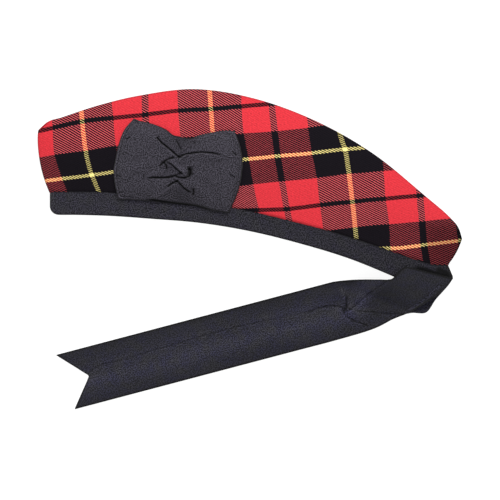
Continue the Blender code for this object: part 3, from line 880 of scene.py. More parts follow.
@dataclass
class PlaidLayout:
    """Where the plaid's stripes lie on a side, so that they lean and bend as the cloth does.

    Each row is a stripe's place in threads and points on it, in millimetres of the cap's plan as the
    camera shows it. A thin-plate surface passes close by the rows' points, one for either direction.
    """

    upright: tuple[tuple[float, tuple[tuple[float, float], ...]], ...] = (
        (34, ((10.4, 62.9), (11.5, 43.7), (15.2, 32.0), (20.6, 17.7))),
        (68, ((31.2, 74.6), (33.9, 49.0), (36.5, 36.2), (38.6, 28.9), (43.9, 17.1))),
        (102, ((53.2, 82.0), (54.6, 68.2), (56.2, 50.1))),
        (136, ((77.5, 86.3), (77.5, 72.6))),
        (170, ((100.6, 89.5), (103.0, 57.6))),
        (204, ((124.1, 90.6), (125.2, 76.7), (126.4, 60.8))),
        (238, ((147.1, 86.8), (148.7, 59.7), (152.8, 40.7), (155.7, 22.2), (159.8, 4.9))),
        (272, ((169.3, 78.9), (171.3, 60.4), (173.3, 42.7), (176.5, 24.5), (180.0, 4.1))),
        (306, ((195.2, 68.4), (197.9, 47.6), (202.0, 26.8), (206.0, -5.5))),
        (340, ((218.7, 58.1), (222.4, 47.6), (225.1, 29.7), (227.7, 9.5), (230.3, -15.9))),
        (374, ((250.0, 36.1), (251.7, 11.8), (254.5, -6.7), (255.1, -22.3))),
        (408, ((276.5, 14.1), (278.3, -4.3), (279.4, -21.7), (282.3, -36.8))),
        (442, ((302.8, -7.2),)),
    )
    level: tuple[tuple[float, tuple[tuple[float, float], ...]], ...] = (
        (0, ((0.4, 60.8), (31.8, 68.0), (53.2, 70.3), (77.5, 72.6), (101.3, 75.6), (124.6, 76.7))),
        (0, ((147.0, 78.7), (168.5, 80.6))),
        (34, ((1.4, 41.6), (12.0, 43.7), (34.4, 46.4), (56.7, 50.1), (143.6, 58.7), (170.2, 60.4))),
        (34, ((195.6, 63.2), (207.2, 65.0))),
        (68, ((4.6, 24.6), (38.6, 28.9), (54.6, 31.2), (149.4, 40.2), (173.3, 42.7), (197.9, 44.7))),
        (68, ((222.4, 47.6), (238.4, 48.8))),
        (102, ((147.1, 21.0), (156.3, 22.2), (177.1, 24.5), (201.4, 26.8), (223.4, 29.7), (250.6, 32.0))),
        (136, ((142.5, 3.1), (180.0, 4.1), (204.9, 7.2), (227.7, 9.5), (252.3, 11.8), (278.3, 14.1))),
        (170, ((210.7, -11.3), (229.2, -9.0), (253.4, -6.7), (275.9, -4.9), (298.5, -2.6))),
        (204, ((250.0, -24.0), (255.7, -24.6), (279.4, -21.7), (306.6, -18.3))),
    )

    eye: tuple[float, float, float] = (0.15345, -0.02544, 2.206)  # the camera, in the cap's plan
    level_height: float = 0.006  # the height at which the tables hold
    stiffness: float = 0.004  # how far the surface may pass the points by

    def terms(self, x: Array, y: Array, points: Array) -> Array:
        """Thin-plate curves, r² log r of the distance r to each point in decimetres, then 1, x and y.

        Args:
            x, y: places in metres.
            points: the points in metres.

        Returns:
            The terms, along a last axis.
        """
        far = np.hypot(x[..., None] - points[:, 0], y[..., None] - points[:, 1]) / 0.1
        plane = np.stack([np.ones_like(x), x / 0.1, y / 0.1], axis=-1)
        return np.concatenate([far**2 * np.log(np.maximum(far, 1e-6)), plane], axis=-1)

    def fitted(self, rows: tuple, x: Array, y: Array) -> Array:
        """Places in threads on the thin-plate surface through the rows' points.

        Args:
            rows: stripes and points on them.
            x, y: where to evaluate, in metres.

        Returns:
            The place of each in threads.
        """
        points = np.array([p for _, line in rows for p in line]) / 1000
        places = np.array([place for place, line in rows for _ in line], float)
        count = len(points)
        system = np.zeros((count + 3, count + 3))
        system[:count] = self.terms(points[:, 0], points[:, 1], points)
        system[count:, :count] = system[:count, count:].T
        system[:count, :count] += self.stiffness * np.eye(count)
        weights = np.linalg.solve(system, np.concatenate([places, np.zeros(3)]))
        return self.terms(x, y, points) @ weights

    def threads(self, face: Array) -> Array:
        """The plaid's UV map at points of a face; higher cloth looks farther from the picture's middle.

        Args:
            face: points in the cap's plan.

        Returns:
            The map's two values for each.
        """
        middle, height = np.array(self.eye[:2]), self.eye[2]
        magnified = (height - self.level_height) / (height - face[..., 2:])
        seen = middle + (face[..., :2] - middle) * magnified
        pair = [self.fitted(rows, seen[..., 0], seen[..., 1]) for rows in (self.upright, self.level)]
        return np.stack(pair, axis=-1) / UV_THREADS


# The pieces


@dataclass
class SidePanel:
    """One cloth side: a closed sheet from the band to the ridge."""

    form: CapForm
    layout: PlaidLayout
    layer: Layer
    along: int = 330
    up: int = 104
    slack: float = 0.00035  # height of the broad waves
    pucker: float = 0.00012  # height of the puckers at the band
    pucker_length: float = 0.0087
    tuck: float = 0.0011  # how far the cloth runs under the band
    roll: float = 0.0007  # how far it rolls down at the ridge

    def shade(self, x: Array, y: Array) -> Array:
        """Dark where the cloth turns over at the ridge and the heel or goes under the band, and towards the
        heel's lower corner.

        Args:
            x, y: the face's places.

        Returns:
            The shade of each.
        """
        run = running(np.hypot(np.diff(x, axis=1), np.diff(y, axis=1)), 1)
        ridge = bell(run[:, -1:] - run, 0.0010)
        edge = np.maximum(0.95 * bell(x[-1:] - x, 0.0014), 0.6 * bell(x - x[:1], 0.0009))
        corner = 0.42 * ease((x - 0.274) / 0.012) * ease((-0.002 - y) / 0.010)
        under = 0.5 * bell(np.maximum(run - self.tuck, 0), 0.0012)
        return np.maximum(0.6 * ridge + under, np.maximum(edge, corner))

    def face(self) -> tuple[Array, Array, Array]:
        """The outer face: the form's height, plus slack in broad waves, plus short puckers at the band.

        Returns:
            The face's points, and x and y of each.
        """
        u, v = np.meshgrid(crowded(self.along), crowded(self.up), indexing="ij")
        x, y = self.form.side_plan(u, v)
        y = y - self.tuck * near_end(v, 0.10)
        if self.layer is Layer.LOWER:
            return np.stack([x, y, self.form.low_face(u, v)], axis=-1), x, y
        calm = ease(u / 0.06) * ease((1 - u) / 0.06)
        waves = self.slack * ripple(x, y, 11, 0.055) * calm
        turns = x * math.tau / self.pucker_length + 3 * ripple(x, y, 5, 0.05)
        puckers = self.pucker * np.sin(turns) * near_end(v, 0.16) * calm
        roll = -self.roll * near_end(1 - v, 0.06) * calm
        return np.stack([x, y, self.form.high_face(u, v) + waves + puckers + roll], axis=-1), x, y

    def build(self, material: bpy.types.Material) -> bpy.types.Object:
        """Makes the side.

        Args:
            material: its finish.

        Returns:
            The piece.
        """
        face, x, y = self.face()
        outward = 1 if self.layer is Layer.UPPER else -1
        body = cloth_body(face, self.form.wall, outward)
        cloth = np.tile(self.layout.threads(face).reshape(-1, 2), (2, 1))
        name, shade = f"side_{self.layer.value}", np.tile(self.shade(x, y).ravel(), 2)
        return new_piece(f"{name}_cloth", body, cloth, material, [name], shade)


@dataclass
class Crown:
    """The narrow top piece, folded down between the two ridges."""

    form: CapForm
    wall: float = 0.0018
    room: float = 0.0005  # left between the crown and each side
    inset: float = 0.036  # share of the rim that it stops short of either end
    depth: float = 0.0450
    fold_radius: float = 0.0018
    pitch: tuple[float, float] = (0.0007, 0.000565)  # between threads, along the cap and round the fold
    first_thread: float = 12.0  # at one edge, counted from the thin black line
    along: int = 240
    flank: int = 26
    turn: int = 22

    def build(self, material: bpy.types.Material) -> bpy.types.Object:
        """Makes the crown: straight flanks down to a half circle, carried along the cap.

        Args:
            material: its finish.

        Returns:
            The piece.
        """
        form = self.form
        u = (self.inset + (1 - 2 * self.inset) * crowded(self.along))[None, :]
        (join_x, join_y), (ridge_x, ridge_y) = form.join(u), form.ridge(u)
        height = np.hypot(ridge_x - join_x, ridge_y - join_y)
        at_ridge = form.space(u, 1.0) / 2 - self.room - self.wall / 2
        radius = np.minimum(np.maximum(self.fold_radius, self.wall / 2 + form.clearance / 2), at_ridge)
        depth = self.depth * np.sin(math.pi * u) ** 0.7
        t = np.linspace(0, 1, self.flank)[:-1, None]
        angle = np.linspace(0, math.pi, self.turn)[:, None]
        flank_down, flank_out = t * (depth - radius), at_ridge + (radius - at_ridge) * t
        down = np.concatenate([flank_down, depth - radius + radius * np.sin(angle), flank_down[::-1]])
        out = np.concatenate([flank_out, radius * np.cos(angle), -flank_out[::-1]])
        v = 1 - (down + form.clearance) / height
        u = np.broadcast_to(u, v.shape)
        x, y = form.side_plan(u, v)
        middle = np.stack([x, y, form.middle(u, v) + out], axis=-1)
        normal = grid_normals(middle)
        body = cloth_body(middle + normal * self.wall / 2, self.wall)
        girth = running(np.linalg.norm(np.diff(middle, axis=0), axis=-1))
        threads = [x / self.pitch[0], girth / self.pitch[1] + self.first_thread]
        threads = np.stack(threads, axis=-1) / UV_THREADS
        cloth = np.tile(threads.reshape(-1, 2), (2, 1))
        return new_piece("crown_cloth", body, cloth, material, ["crown"])


@dataclass
class Band:
    """The plain binding round the rim, with rounded edges."""

    form: CapForm
    front_corner: float = 0.0065
    back_corner: float = 0.0035
    edge: float = 0.0011  # radius of the section's corners
    along: int = 230
    folds: tuple[Fold, ...] = ()
    stitch_line: float = 0.0034  # from the join
    stitch_width: float = 0.0006
    slack: float = 0.00022

    def corner_shift(self, from_edge: Array, radius: float) -> Array:
        """How far a round corner draws the end in: the radius less the circle's chord."""
        left = np.clip(radius - from_edge, 0, radius)
        return radius - np.sqrt(radius**2 - left**2)

    def section(self) -> tuple[Array, Array, Array]:
        """A rounded bar's outline: the share of the width, the rest in metres, and the depth inwards.

        Returns:
            The three, point after point.
        """
        deep = self.form.wall + self.form.band_proud
        r, bend = self.edge, np.linspace(0, math.pi / 2, 6)
        flat, zero = np.linspace(0, 1, 16)[1:-1], np.zeros(14)
        share = [flat, np.ones(6), np.ones(6), flat[::-1], np.zeros(6), np.zeros(6)]
        rest = [r - 2 * r * flat, -r + r * np.sin(bend), -r + r * np.cos(bend)]
        rest += [r - 2 * r * flat[::-1], r - r * np.sin(bend), r - r * np.cos(bend)]
        depth = [zero, r - r * np.cos(bend), deep - r + r * np.sin(bend)]
        depth += [zero + deep, deep - r + r * np.cos(bend), r - r * np.sin(bend)]
        return np.concatenate(share), np.concatenate(rest), np.concatenate(depth)

    def build(self, material: bpy.types.Material) -> bpy.types.Object:
        """Makes the band: the section carried up one side of the rim, round the heel and back.

        Args:
            material: its finish.

        Returns:
            The piece.
        """
        form, (share, rest, depth) = self.form, self.section()
        s, inset = crowded(self.along)[None, :], (depth / form.rim_length)[:, None]
        u = inset + (1 - 2 * inset) * s
        width = form.band_size(u)
        from_rim = share[:, None] * width + rest[:, None]
        x, y = form.band_plan(u, from_rim / width)
        x = x + self.corner_shift(from_rim, self.front_corner) * near_end(u, 0.12)
        x = x - self.corner_shift(from_rim, self.back_corner) * near_end(1 - u, 0.10)
        space = form.space(u, 0.0)
        half = space / 2 + form.wall + form.band_proud - depth[:, None]
        nose = np.minimum(s, 1 - s) * (form.rim_length * (1 - 2 * inset)) / half[:, :1]
        half = half * np.sqrt(1 - (1 - np.minimum(nose, 1)) ** 2)
        centre = form.lift(u) + form.wall + form.band_proud + space / 2
        # The rear half shows a line of stitching under the join.
        stitches = bell(width - from_rim - self.stitch_line, self.stitch_width)
        stitches = 0.24 * stitches * ease((u - 0.42) / 0.10)
        from_edge = np.minimum(np.minimum(from_rim, width - from_rim), x - x[:, :1])
        # Painted shade along the band's turned edges and at its front end.
        turned = 0.90 * bell(from_edge, 0.0008)
        painted_falloff = 0.36 * u**2 - 0.17  # painted light: the front catches more of the light than the heel
        shade = folded(self.folds, x, y)[1] + stitches * ease((0.93 - u) / 0.05) + turned + painted_falloff
        slack = self.slack * ripple(x, y, 23, 0.03) * ease(s / 0.05) * ease((1 - s) / 0.05)
        high = np.stack([x, y, centre + half + slack], axis=-1)
        low = np.stack([x, y, centre - half], axis=-1)
        points = np.concatenate([high, low[:, -2:0:-1]], axis=1)
        run = np.concatenate([x, 2 * form.cap_length - x[:, -2:0:-1]], axis=1)
        cloth = np.stack([run, np.concatenate([from_rim, from_rim[:, -2:0:-1]], axis=1)], axis=-1) / UV_METRES
        quads = grid_quads(*points.shape[:2], wrap_rows=True, wrap_columns=True)[:, ::-1]
        shade = np.concatenate([shade, shade[:, -2:0:-1]], axis=1)
        body = points.reshape(-1, 3), quads
        return new_piece("band_cloth", body, cloth.reshape(-1, 2), material, ["band"], shade)


@dataclass
class Bow:
    """The gathered bow: two full lobes pinched in the middle. Its tables are in mm from its centre."""

    form: CapForm
    centre: tuple[float, float] = (0.1013, 0.0341)
    edge: float = 0.0016  # thickness at the rim
    rise: float = 0.0075  # thickness of the full lobes
    fold_scale: float = 1.7  # how much higher the folds are made than their tables say
    gathers: int = 11  # waves round the middle
    gather_rise: float = 0.00035
    slack: float = 0.00035
    hem: tuple[float, float] = (0.0014, 0.0022)  # the hem's ridge and its groove, from the edge
    hem_width: float = 0.0004
    across: int = 258
    up: int = 188
    bottom: tuple[tuple[float, float], ...] = (
        (-42.6, -23.3), (-35.0, -23.3), (-26.5, -23.9), (-12.0, -25.4), (1.4, -26.8), (13.8, -28.3),
        (23.2, -30.9), (36.8, -33.1),
    )
    top: tuple[tuple[float, float], ...] = (
        (-31.5, 35.2), (-26.6, 33.3), (-21.8, 32.3), (-13.8, 29.7), (-7.2, 26.5), (-3.2, 23.2), (1.4, 22.1),
        (9.7, 20.7), (14.9, 22.7), (26.8, 25.3), (35.0, 26.4), (41.2, 25.9),
    )
    left: tuple[tuple[float, float], ...] = (
        (-42.6, -23.3), (-44.6, -15.9), (-46.2, -2.0), (-44.7, 6.1), (-42.8, 15.2), (-38.6, 26.5),
        (-31.5, 35.2),
    )
    right: tuple[tuple[float, float], ...] = (
        (36.8, -33.1), (39.9, -26.5), (43.4, -18.1), (45.8, -8.5), (46.9, 4.3), (45.2, 14.6), (41.2, 25.9),
    )
    # Each fold: its points, crease, width, lip, reach, and whether its start and its end are open.
    folds: tuple[Fold, ...] = (
        # The left lobe's upper edge, lying over the cloth of the waist.
        Fold(
            ((-14.6, 21.0), (-11.4, 17.3), (-6.2, 13.2), (-1.0, 8.7), (1.2, 6.8)),
            1.5, 0.6, -1.3, 6.0, True, True,
        ),
        Fold(((-18.2, 18.4), (-15.6, 21.0), (-13.5, 23.6)), -0.5, 0.5),
        Fold(((2.8, 12.4), (0.8, 16.0), (-1.4, 20.6)), 1.0, 0.5, 0.6, 4.0, True),
        Fold(((-1.5, 6.0), (1.0, 9.5), (5.4, 12.9), (10.6, 16.4)), -0.9, 0.6),
        # The right lobe's upper edge.
        Fold(
            ((1.6, 6.9), (5.7, 9.0), (11.4, 9.8), (16.6, 10.4), (21.8, 10.2), (26.9, 9.5), (34.0, 7.6)),
            1.3, 0.55, -0.9, 6.0, True,
        ),
        Fold(((0.4, 2.6), (3.1, 5.4), (5.7, 7.9), (9.8, 9.0)), -1.0, 0.5, -0.9, 4.0),
        # The tuck across the middle: its body, its ends and its two edges.
        Fold(((-9.5, 5.4), (-4.0, 3.2), (0.0, 0.4), (4.5, -2.8), (7.4, -6.0)), -0.8, 2.4),
        Fold(((-0.6, 7.0), (-5.2, 5.9), (-8.3, 4.4), (-10.9, 2.3), (-13.4, -0.6)), 1.4, 0.7, 0.7, 4.0),
        Fold(((-9.9, 4.0), (-7.8, 0.9), (-7.4, -2.6)), 1.2, 0.7),
        Fold(
            ((-8.4, 4.5), (-4.1, 2.1), (-1.0, -0.8), (2.1, -3.7), (3.6, -4.6)),
            1.5, 0.5, 0.9, 3.0, False, True,
        ),
        Fold(((3.3, -4.2), (0.6, -5.5), (-1.0, -6.8)), 0.8, 0.5, 0.0, 3.0, True, True),
        # The pit beside the tuck's lower end.
        Fold(((7.4, -0.2), (9.2, -2.2), (9.3, -4.6), (7.8, -6.9)), 2.4, 1.45),
        Fold(((-0.6, -6.9), (1.4, -7.4), (5.7, -7.8), (8.6, -6.4)), 1.5, 0.6, 0.5, 3.0, True, True),
        Fold(
            (
                (-0.6, -5.8), (-3.6, -7.0), (-7.3, -7.6), (-12.4, -7.8), (-17.6, -7.6), (-20.7, -8.2),
                (-21.6, -10.0),
            ),
            1.5, 0.6, 0.8, 5.0, True,
        ),
        Fold(((-23.4, -4.4), (-24.5, -9.0)), 0.6, 0.5),
        Fold(((0.4, -9.9), (-3.6, -11.7), (-7.4, -14.8)), 1.4, 0.6, 0.6, 4.0, True),
        Fold(
            ((-0.2, -9.9), (2.6, -12.7), (5.2, -15.3), (8.3, -17.4), (11.0, -18.4)),
            1.3, 0.55, 0.6, 4.0, True,
        ),
        Fold(((11.2, -14.6), (11.9, -17.9), (11.0, -21.0)), 1.3, 0.6),
        Fold(
            ((-2.1, -11.7), (-5.2, -15.8), (-9.3, -19.0), (-15.5, -21.5), (-22.0, -23.0)),
            -0.5, 0.6, -0.9, 6.0,
        ),
        # The slit over the band, under the bow's lower edge.
        Fold(
            (
                (-26.0, -23.0), (-17.6, -23.3), (-9.3, -24.6), (-1.0, -25.9), (5.2, -26.9), (13.5, -28.3),
                (25.0, -30.6),
            ),
            2.2, 0.75,
        ),
        # Stitches that hold the hems.
        Fold(((-36.6, 20.2), (-34.0, 21.4)), 0.9, 0.45, 0.0, 3.0, True, True),
        Fold(((-43.6, -6.0), (-40.3, -6.7)), 0.9, 0.45, 0.0, 3.0, True, True),
        Fold(((-42.4, -18.0), (-39.0, -17.8)), 0.8, 0.45, 0.0, 3.0, True, True),
        Fold(((-30.4, 33.4), (-28.2, 31.6)), 0.8, 0.45, 0.0, 3.0, True, True),
        Fold(((40.0, 10.6), (42.2, 8.2)), 0.9, 0.45, 0.0, 3.0, True, True),
        Fold(((38.0, -5.4), (41.2, -7.4)), 0.9, 0.45, 0.0, 3.0, True, True),
        Fold(((36.0, 7.5), (44.0, 6.9)), -0.8, 0.5, 0.0, 3.0, False, True),
        Fold(((11.4, 18.4), (13.0, 16.4)), 0.9, 0.5),
        # Slack in the lobes.
        Fold(((-20.0, 4.0), (-30.0, 7.0), (-42.0, 9.0)), 0.12, 3.0, 0.3, 9.0),
        Fold(((-20.0, -2.0), (-31.0, -5.0), (-40.0, -12.0)), 0.12, 2.6, -0.3, 9.0),
        Fold(((14.0, 3.0), (28.0, 4.0), (41.0, 7.0)), 0.12, 2.8, 0.3, 9.0),
        Fold(((14.0, -8.0), (24.0, -15.0), (34.0, -24.0)), 0.15, 2.8, -0.3, 9.0),
        Fold(((12.0, 16.0), (20.0, 19.0), (32.0, 21.0)), 0.12, 2.2, 0.2, 9.0),
    )

    def edge_line(self, line: Sequence[tuple[float, float]], share: Array) -> tuple[Array, Array]:
        """A smooth curve through an edge's corners, by share of its length.

        Args:
            line: the corners in mm.
            share: shares of the length.

        Returns:
            x and y in metres.
        """
        points = np.asarray(line) / 1000
        run = running(np.hypot(*np.diff(points, axis=0).T))
        at = share * run[-1]
        return smooth_curve(at, run, points[:, 0]), smooth_curve(at, run, points[:, 1])

    def plan(self) -> tuple[Array, Array]:
        """A patch filled in between the four edges: the sum of both blends less that of the corners.

        Returns:
            x and y in metres from the bow's centre.
        """
        a, b = spread(self.across, 0.2), spread(self.up, 0.2)
        (bx, by), (tx, ty) = self.edge_line(self.bottom, a), self.edge_line(self.top, a)
        (lx, ly), (rx, ry) = self.edge_line(self.left, b), self.edge_line(self.right, b)
        grid_a, grid_b = np.meshgrid(a, b, indexing="ij")
        filled = []
        for low, high, start, end in ((bx, tx, lx, rx), (by, ty, ly, ry)):
            blend = low[:, None] * (1 - grid_b) + high[:, None] * grid_b
            blend = blend + start[None, :] * (1 - grid_a) + end[None, :] * grid_a
            corners = (low[0] * (1 - grid_a) + low[-1] * grid_a) * (1 - grid_b)
            corners = corners + (high[0] * (1 - grid_a) + high[-1] * grid_a) * grid_b
            filled.append(blend - corners)
        return filled[0], filled[1]

    def relief(self, x: Array, y: Array, away: Array) -> tuple[Array, Array]:
        """Thickness and shade: full lobes, a lower waist, its folds, gathers and hems.

        The lobes rise from the edge as a sine. The gathers are 11 waves round the middle that fade as a
        bell curve. A hem is a raised line and then a groove inside the left and the right edge.

        Args:
            x, y: places from the bow's centre, in metres.
            away: distance from the edge, in metres.

        Returns:
            Thickness in metres, and shade from -1 to 1.
        """
        lobe = np.sin(math.pi / 2 * np.clip(away / 0.014, 0, 1)) ** 0.8
        waist = bell(x, 0.014)
        folds, shade = folded(self.folds, x, y)
        full = (self.rise - self.edge) * lobe * (1 - 0.34 * waist)
        full = full + self.fold_scale * folds * lobe**0.3
        angle, far = np.arctan2(y, x), np.hypot(x, y)
        gathers = self.gather_rise * np.sin(self.gathers * angle + 2.5 * np.sin(2 * angle))
        gathers = gathers * bell(far, 0.017) * ease(far / 0.005)
        slack = self.slack * ripple(x, y, 31, 0.022) * lobe
        ends = ease((np.abs(x) - 0.028) / 0.008) * ease((0.034 - y) / 0.008)
        ridge, groove = (bell(away - line, self.hem_width) * ends for line in self.hem)
        # The edge's own shadow, widest along the right and the lower edge and at the waist.
        reach = 0.0006 + 0.0007 * ease((x - y) / 0.020 - 1) + 0.0005 * bell(x - 0.003, 0.010)
        brim = bell(away, reach)
        # Painted shade where the waist's cloth lies deepest, towards the upper and the lower edge.
        hollow = 0.38 * bell(x - 0.003, 0.011) * ease((np.abs(y) - 0.010) / 0.008)
        # Painted light on the hems' ridges and painted shade in their grooves, the grooves darker on the
        # left.
        shade = shade + 0.95 * brim - 0.55 * ridge + 0.6 * groove * np.where(x < 0, 1.0, 0.4)
        shade = shade + hollow * (1 - np.clip(shade, 0, 1))
        thick = self.edge + np.maximum(full + gathers + slack, -self.edge * 0.5)
        return thick + 0.0003 * ridge - 0.0006 * groove, shade

    def build(self, material: bpy.types.Material) -> bpy.types.Object:
        """Makes the bow as a closed cushion whose back lies on the side.

        Args:
            material: its finish.

        Returns:
            The piece.
        """
        x, y = self.plan()
        flat = np.stack([x, y, np.zeros_like(x)], axis=-1)
        away = edge_distance(flat)
        at = (self.centre[0] + x, self.centre[1] + y)
        seat, (thick, shade) = self.form.seat(*at), self.relief(x, y, away)
        round_edge = rounded(away, self.edge / 2)
        top = np.stack([*at, seat + self.edge / 2 + (thick - self.edge / 2) * round_edge], axis=-1)
        back = np.stack([*at, seat + self.edge / 2 * (1 - round_edge)], axis=-1)
        cloth = np.tile(np.stack([x, y], axis=-1).reshape(-1, 2) / UV_METRES, (2, 1))
        # The back, which lies on the side, is painted in full shade.
        shade = np.concatenate([shade.ravel(), np.ones(shade.size)])
        body = closed_between(top, back)
        piece = new_piece("bow_cloth", body, cloth, material, ["rosette"], shade)
        return piece


@dataclass
class Tail:
    """A ribbon tail from the band to its swallow-cut end. Station columns are shares of its width."""

    form: CapForm
    layer: Layer
    stations: tuple[tuple[float, float, float, float], ...]
    along: int = 460
    across: int = 92
    width: float = 0.0412
    run: float = 0.1967  # the straight stretch, to the upper tip
    angle: float = math.radians(14.8)
    thickness: float = 0.0010
    notch: float = 0.0178  # depth of the swallow cut
    slant: float = 0.0030  # how much shorter the lower tip is
    gather: tuple[float, float] = (0.2081, -0.0715)  # where the straight stretch starts
    gather_rise: float = 0.0022
    fall: float = 0.0200  # from the rim to where the ribbon lies flat
    slack: float = 0.0004
    folds: tuple[Fold, ...] = ()
    narrowing: float = -0.006  # share of the width that each edge comes in
    strip_foot: tuple[float, float] = (0.2266, -0.0689)  # the lower end of the strip's edge
    strip_square: tuple[float, float] = (0.644, -0.765)  # square to that edge, into the strip

    def edges(self) -> tuple[Array, Array]:
        """The two edges through the stations and then straight to the cut end.

        Returns:
            The upper and the lower edge's corners.
        """
        back = np.array([-math.cos(self.angle), -math.sin(self.angle)])
        down = np.array([math.sin(self.angle), -math.cos(self.angle)])
        corner = np.array(self.gather) - down * self.width / 2
        share = np.linspace(0, 1, 9)[:, None]
        table = np.array(self.stations) * self.width
        upper = np.concatenate([corner + table[:, :2], corner + back * self.run * share])
        lower = corner + down * self.width + back * (self.run - self.slant) * share
        lower = np.concatenate([corner + table[:, 2:], lower])
        inset = (lower - upper) * self.narrowing
        return upper + inset, lower - inset

    def plan(self) -> tuple[Array, Array, Array, Array]:
        """Places in the plan with the notch drawn in, and places along and across the ribbon, in metres.

        Returns:
            x, y, and the places along and across.
        """
        upper, lower = self.edges()
        rows = np.arange(len(upper))
        dense = np.linspace(0, rows[-1], 2000)
        mid = [smooth_curve(dense, rows, (upper[:, k] + lower[:, k]) / 2) for k in (0, 1)]
        run = running(np.hypot(np.diff(mid[0]), np.diff(mid[1])))
        fine = np.interp(spread(self.along, 0.2) ** 1.4 * run[-1], run, dense)
        a = spread(self.across, 0.35)
        ends = [smooth_curve(fine, rows, line[:, k])[:, None] for line in (upper, lower) for k in (0, 1)]
        x, y = ends[0] * (1 - a) + ends[2] * a, ends[1] * (1 - a) + ends[3] * a
        first = len(self.stations)
        share = np.clip((fine - first) / (rows[-1] - first), 0, 1)[:, None]
        cut = self.notch * (1 - np.abs(2 * a - 1)) * share**2
        length = np.interp(fine, dense, run)[:, None] - cut
        x, y = x + cut * math.cos(self.angle), y + cut * math.sin(self.angle)
        return x, y, length, a * self.width + 0 * length

    def face(self, x: Array, y: Array, away: Array) -> Array:
        """Height of the upper face: on the band, eased down past the rim, then flat, with folds and slack.

        Args:
            x, y: places in the plan.
            away: distance from the edge.

        Returns:
            The height of each place.
        """
        if self.layer is Layer.LOWER:
            return np.full_like(x, self.thickness)
        form, stack = self.form, self.thickness + self.form.clearance
        u, t = form.chart(form.band_plan, x, y)
        on_band = form.lift(u) + 2 * (form.wall + form.band_proud) + form.space(u, 0.0) + form.clearance
        beyond = np.clip(-t * form.band_size(u) / self.fall, 0, 1)
        start = np.array(self.gather) + self.width * np.array([0.25, 0.22])
        far = np.hypot(x - start[0], y - start[1]) / self.width
        puff = self.gather_rise * (bell(far, 0.45) - 0.6 * bell(far, 0.12)) * beyond
        height = stack + (on_band - stack) * (1 - ease(beyond)) + puff + self.thickness
        slack = self.slack * (1 + ripple(x, y, 47, 0.060)) * ease(away / 0.008)
        return height + folded(self.folds, x, y)[0] + slack

    def shade(self, x: Array, y: Array, away: Array, side: Array) -> Array:
        """Dark in the folds, at the turned edges and on the lower tail, lightest below the long crease.

        Args:
            x, y: places in the plan.
            away: distance from the edge.
            side: distance across the ribbon.

        Returns:
            The shade of each place.
        """
        if self.layer is Layer.LOWER:
            return np.full_like(x, 0.35)
        across = side / self.width
        # The crease from the notch parts a narrow swell from one that bellies up to the light.
        belly = 0.42 * bell(across - 0.58, 0.15) + 0.12 * bell(across - 0.31, 0.06)
        sides = bell(np.minimum(across, 1 - across), 0.17)
        plane = 0.30 - belly + 0.20 * sides + 0.10 * near_end(across, 0.45)
        # The strip from the band lies in shade, and the flared cloth beside it in the light.
        (foot_x, foot_y), (square_x, square_y) = self.strip_foot, self.strip_square
        beyond = (x - foot_x) * square_x + (y - foot_y) * square_y
        strip = ease((x - 0.232) / 0.012) * ease(beyond / 0.004)
        flare = ease((x - 0.226) / 0.010) * ease(-beyond / 0.003)
        plane = plane + (0.49 - plane) * strip + (-0.22 - plane) * flare
        return folded(self.folds, x, y)[1] + plane + 0.95 * bell(away, 0.0011)

    def build(self, material: bpy.types.Material, rests_on: Sequence[str]) -> bpy.types.Object:
        """Args:
            material: its finish.
            rests_on: the names of the pieces that it lies on; not used.

        Returns:
            The piece.
        """
        x, y, length, side = self.plan()
        away = edge_distance(np.stack([x, y, np.zeros_like(x)], axis=-1))
        face = np.stack([x, y, self.face(x, y, away)], axis=-1)
        body = cloth_body(face[:, ::-1], self.thickness)
        cloth = np.stack([length, side], axis=-1)[:, ::-1].reshape(-1, 2) / UV_METRES
        node = "tail_upper" if self.layer is Layer.UPPER else "tail_under"
        shade = np.tile(self.shade(x, y, away, side)[:, ::-1].ravel(), 2)
        piece = new_piece(f"{node}_ribbon", body, np.tile(cloth, (2, 1)), material, [node], shade)
        return piece


UPPER_STATIONS = (
    (1.52, 0.35, 2.37, 0.14),
    (1.41, 0.26, 2.28, 0.03),
    (1.28, 0.13, 2.08, -0.15),
    (1.06, 0.12, 1.79, -0.35),
    (0.81, 0.12, 1.58, -0.475),
    (0.56, 0.11, 1.32, -0.58),
    (0.32, 0.08, 0.95, -0.76),
)
UNDER_STATIONS = (
    (1.62, 0.31, 2.385, 0.13),
    (1.48, 0.20, 2.285, -0.01),
    (1.34, 0.08, 2.08, -0.24),
    (1.09, 0.08, 1.91, -0.47),
    (0.84, 0.08, 1.64, -0.48),
    (0.60, 0.08, 1.37, -0.56),
    (0.35, 0.05, 0.95, -0.75),
)
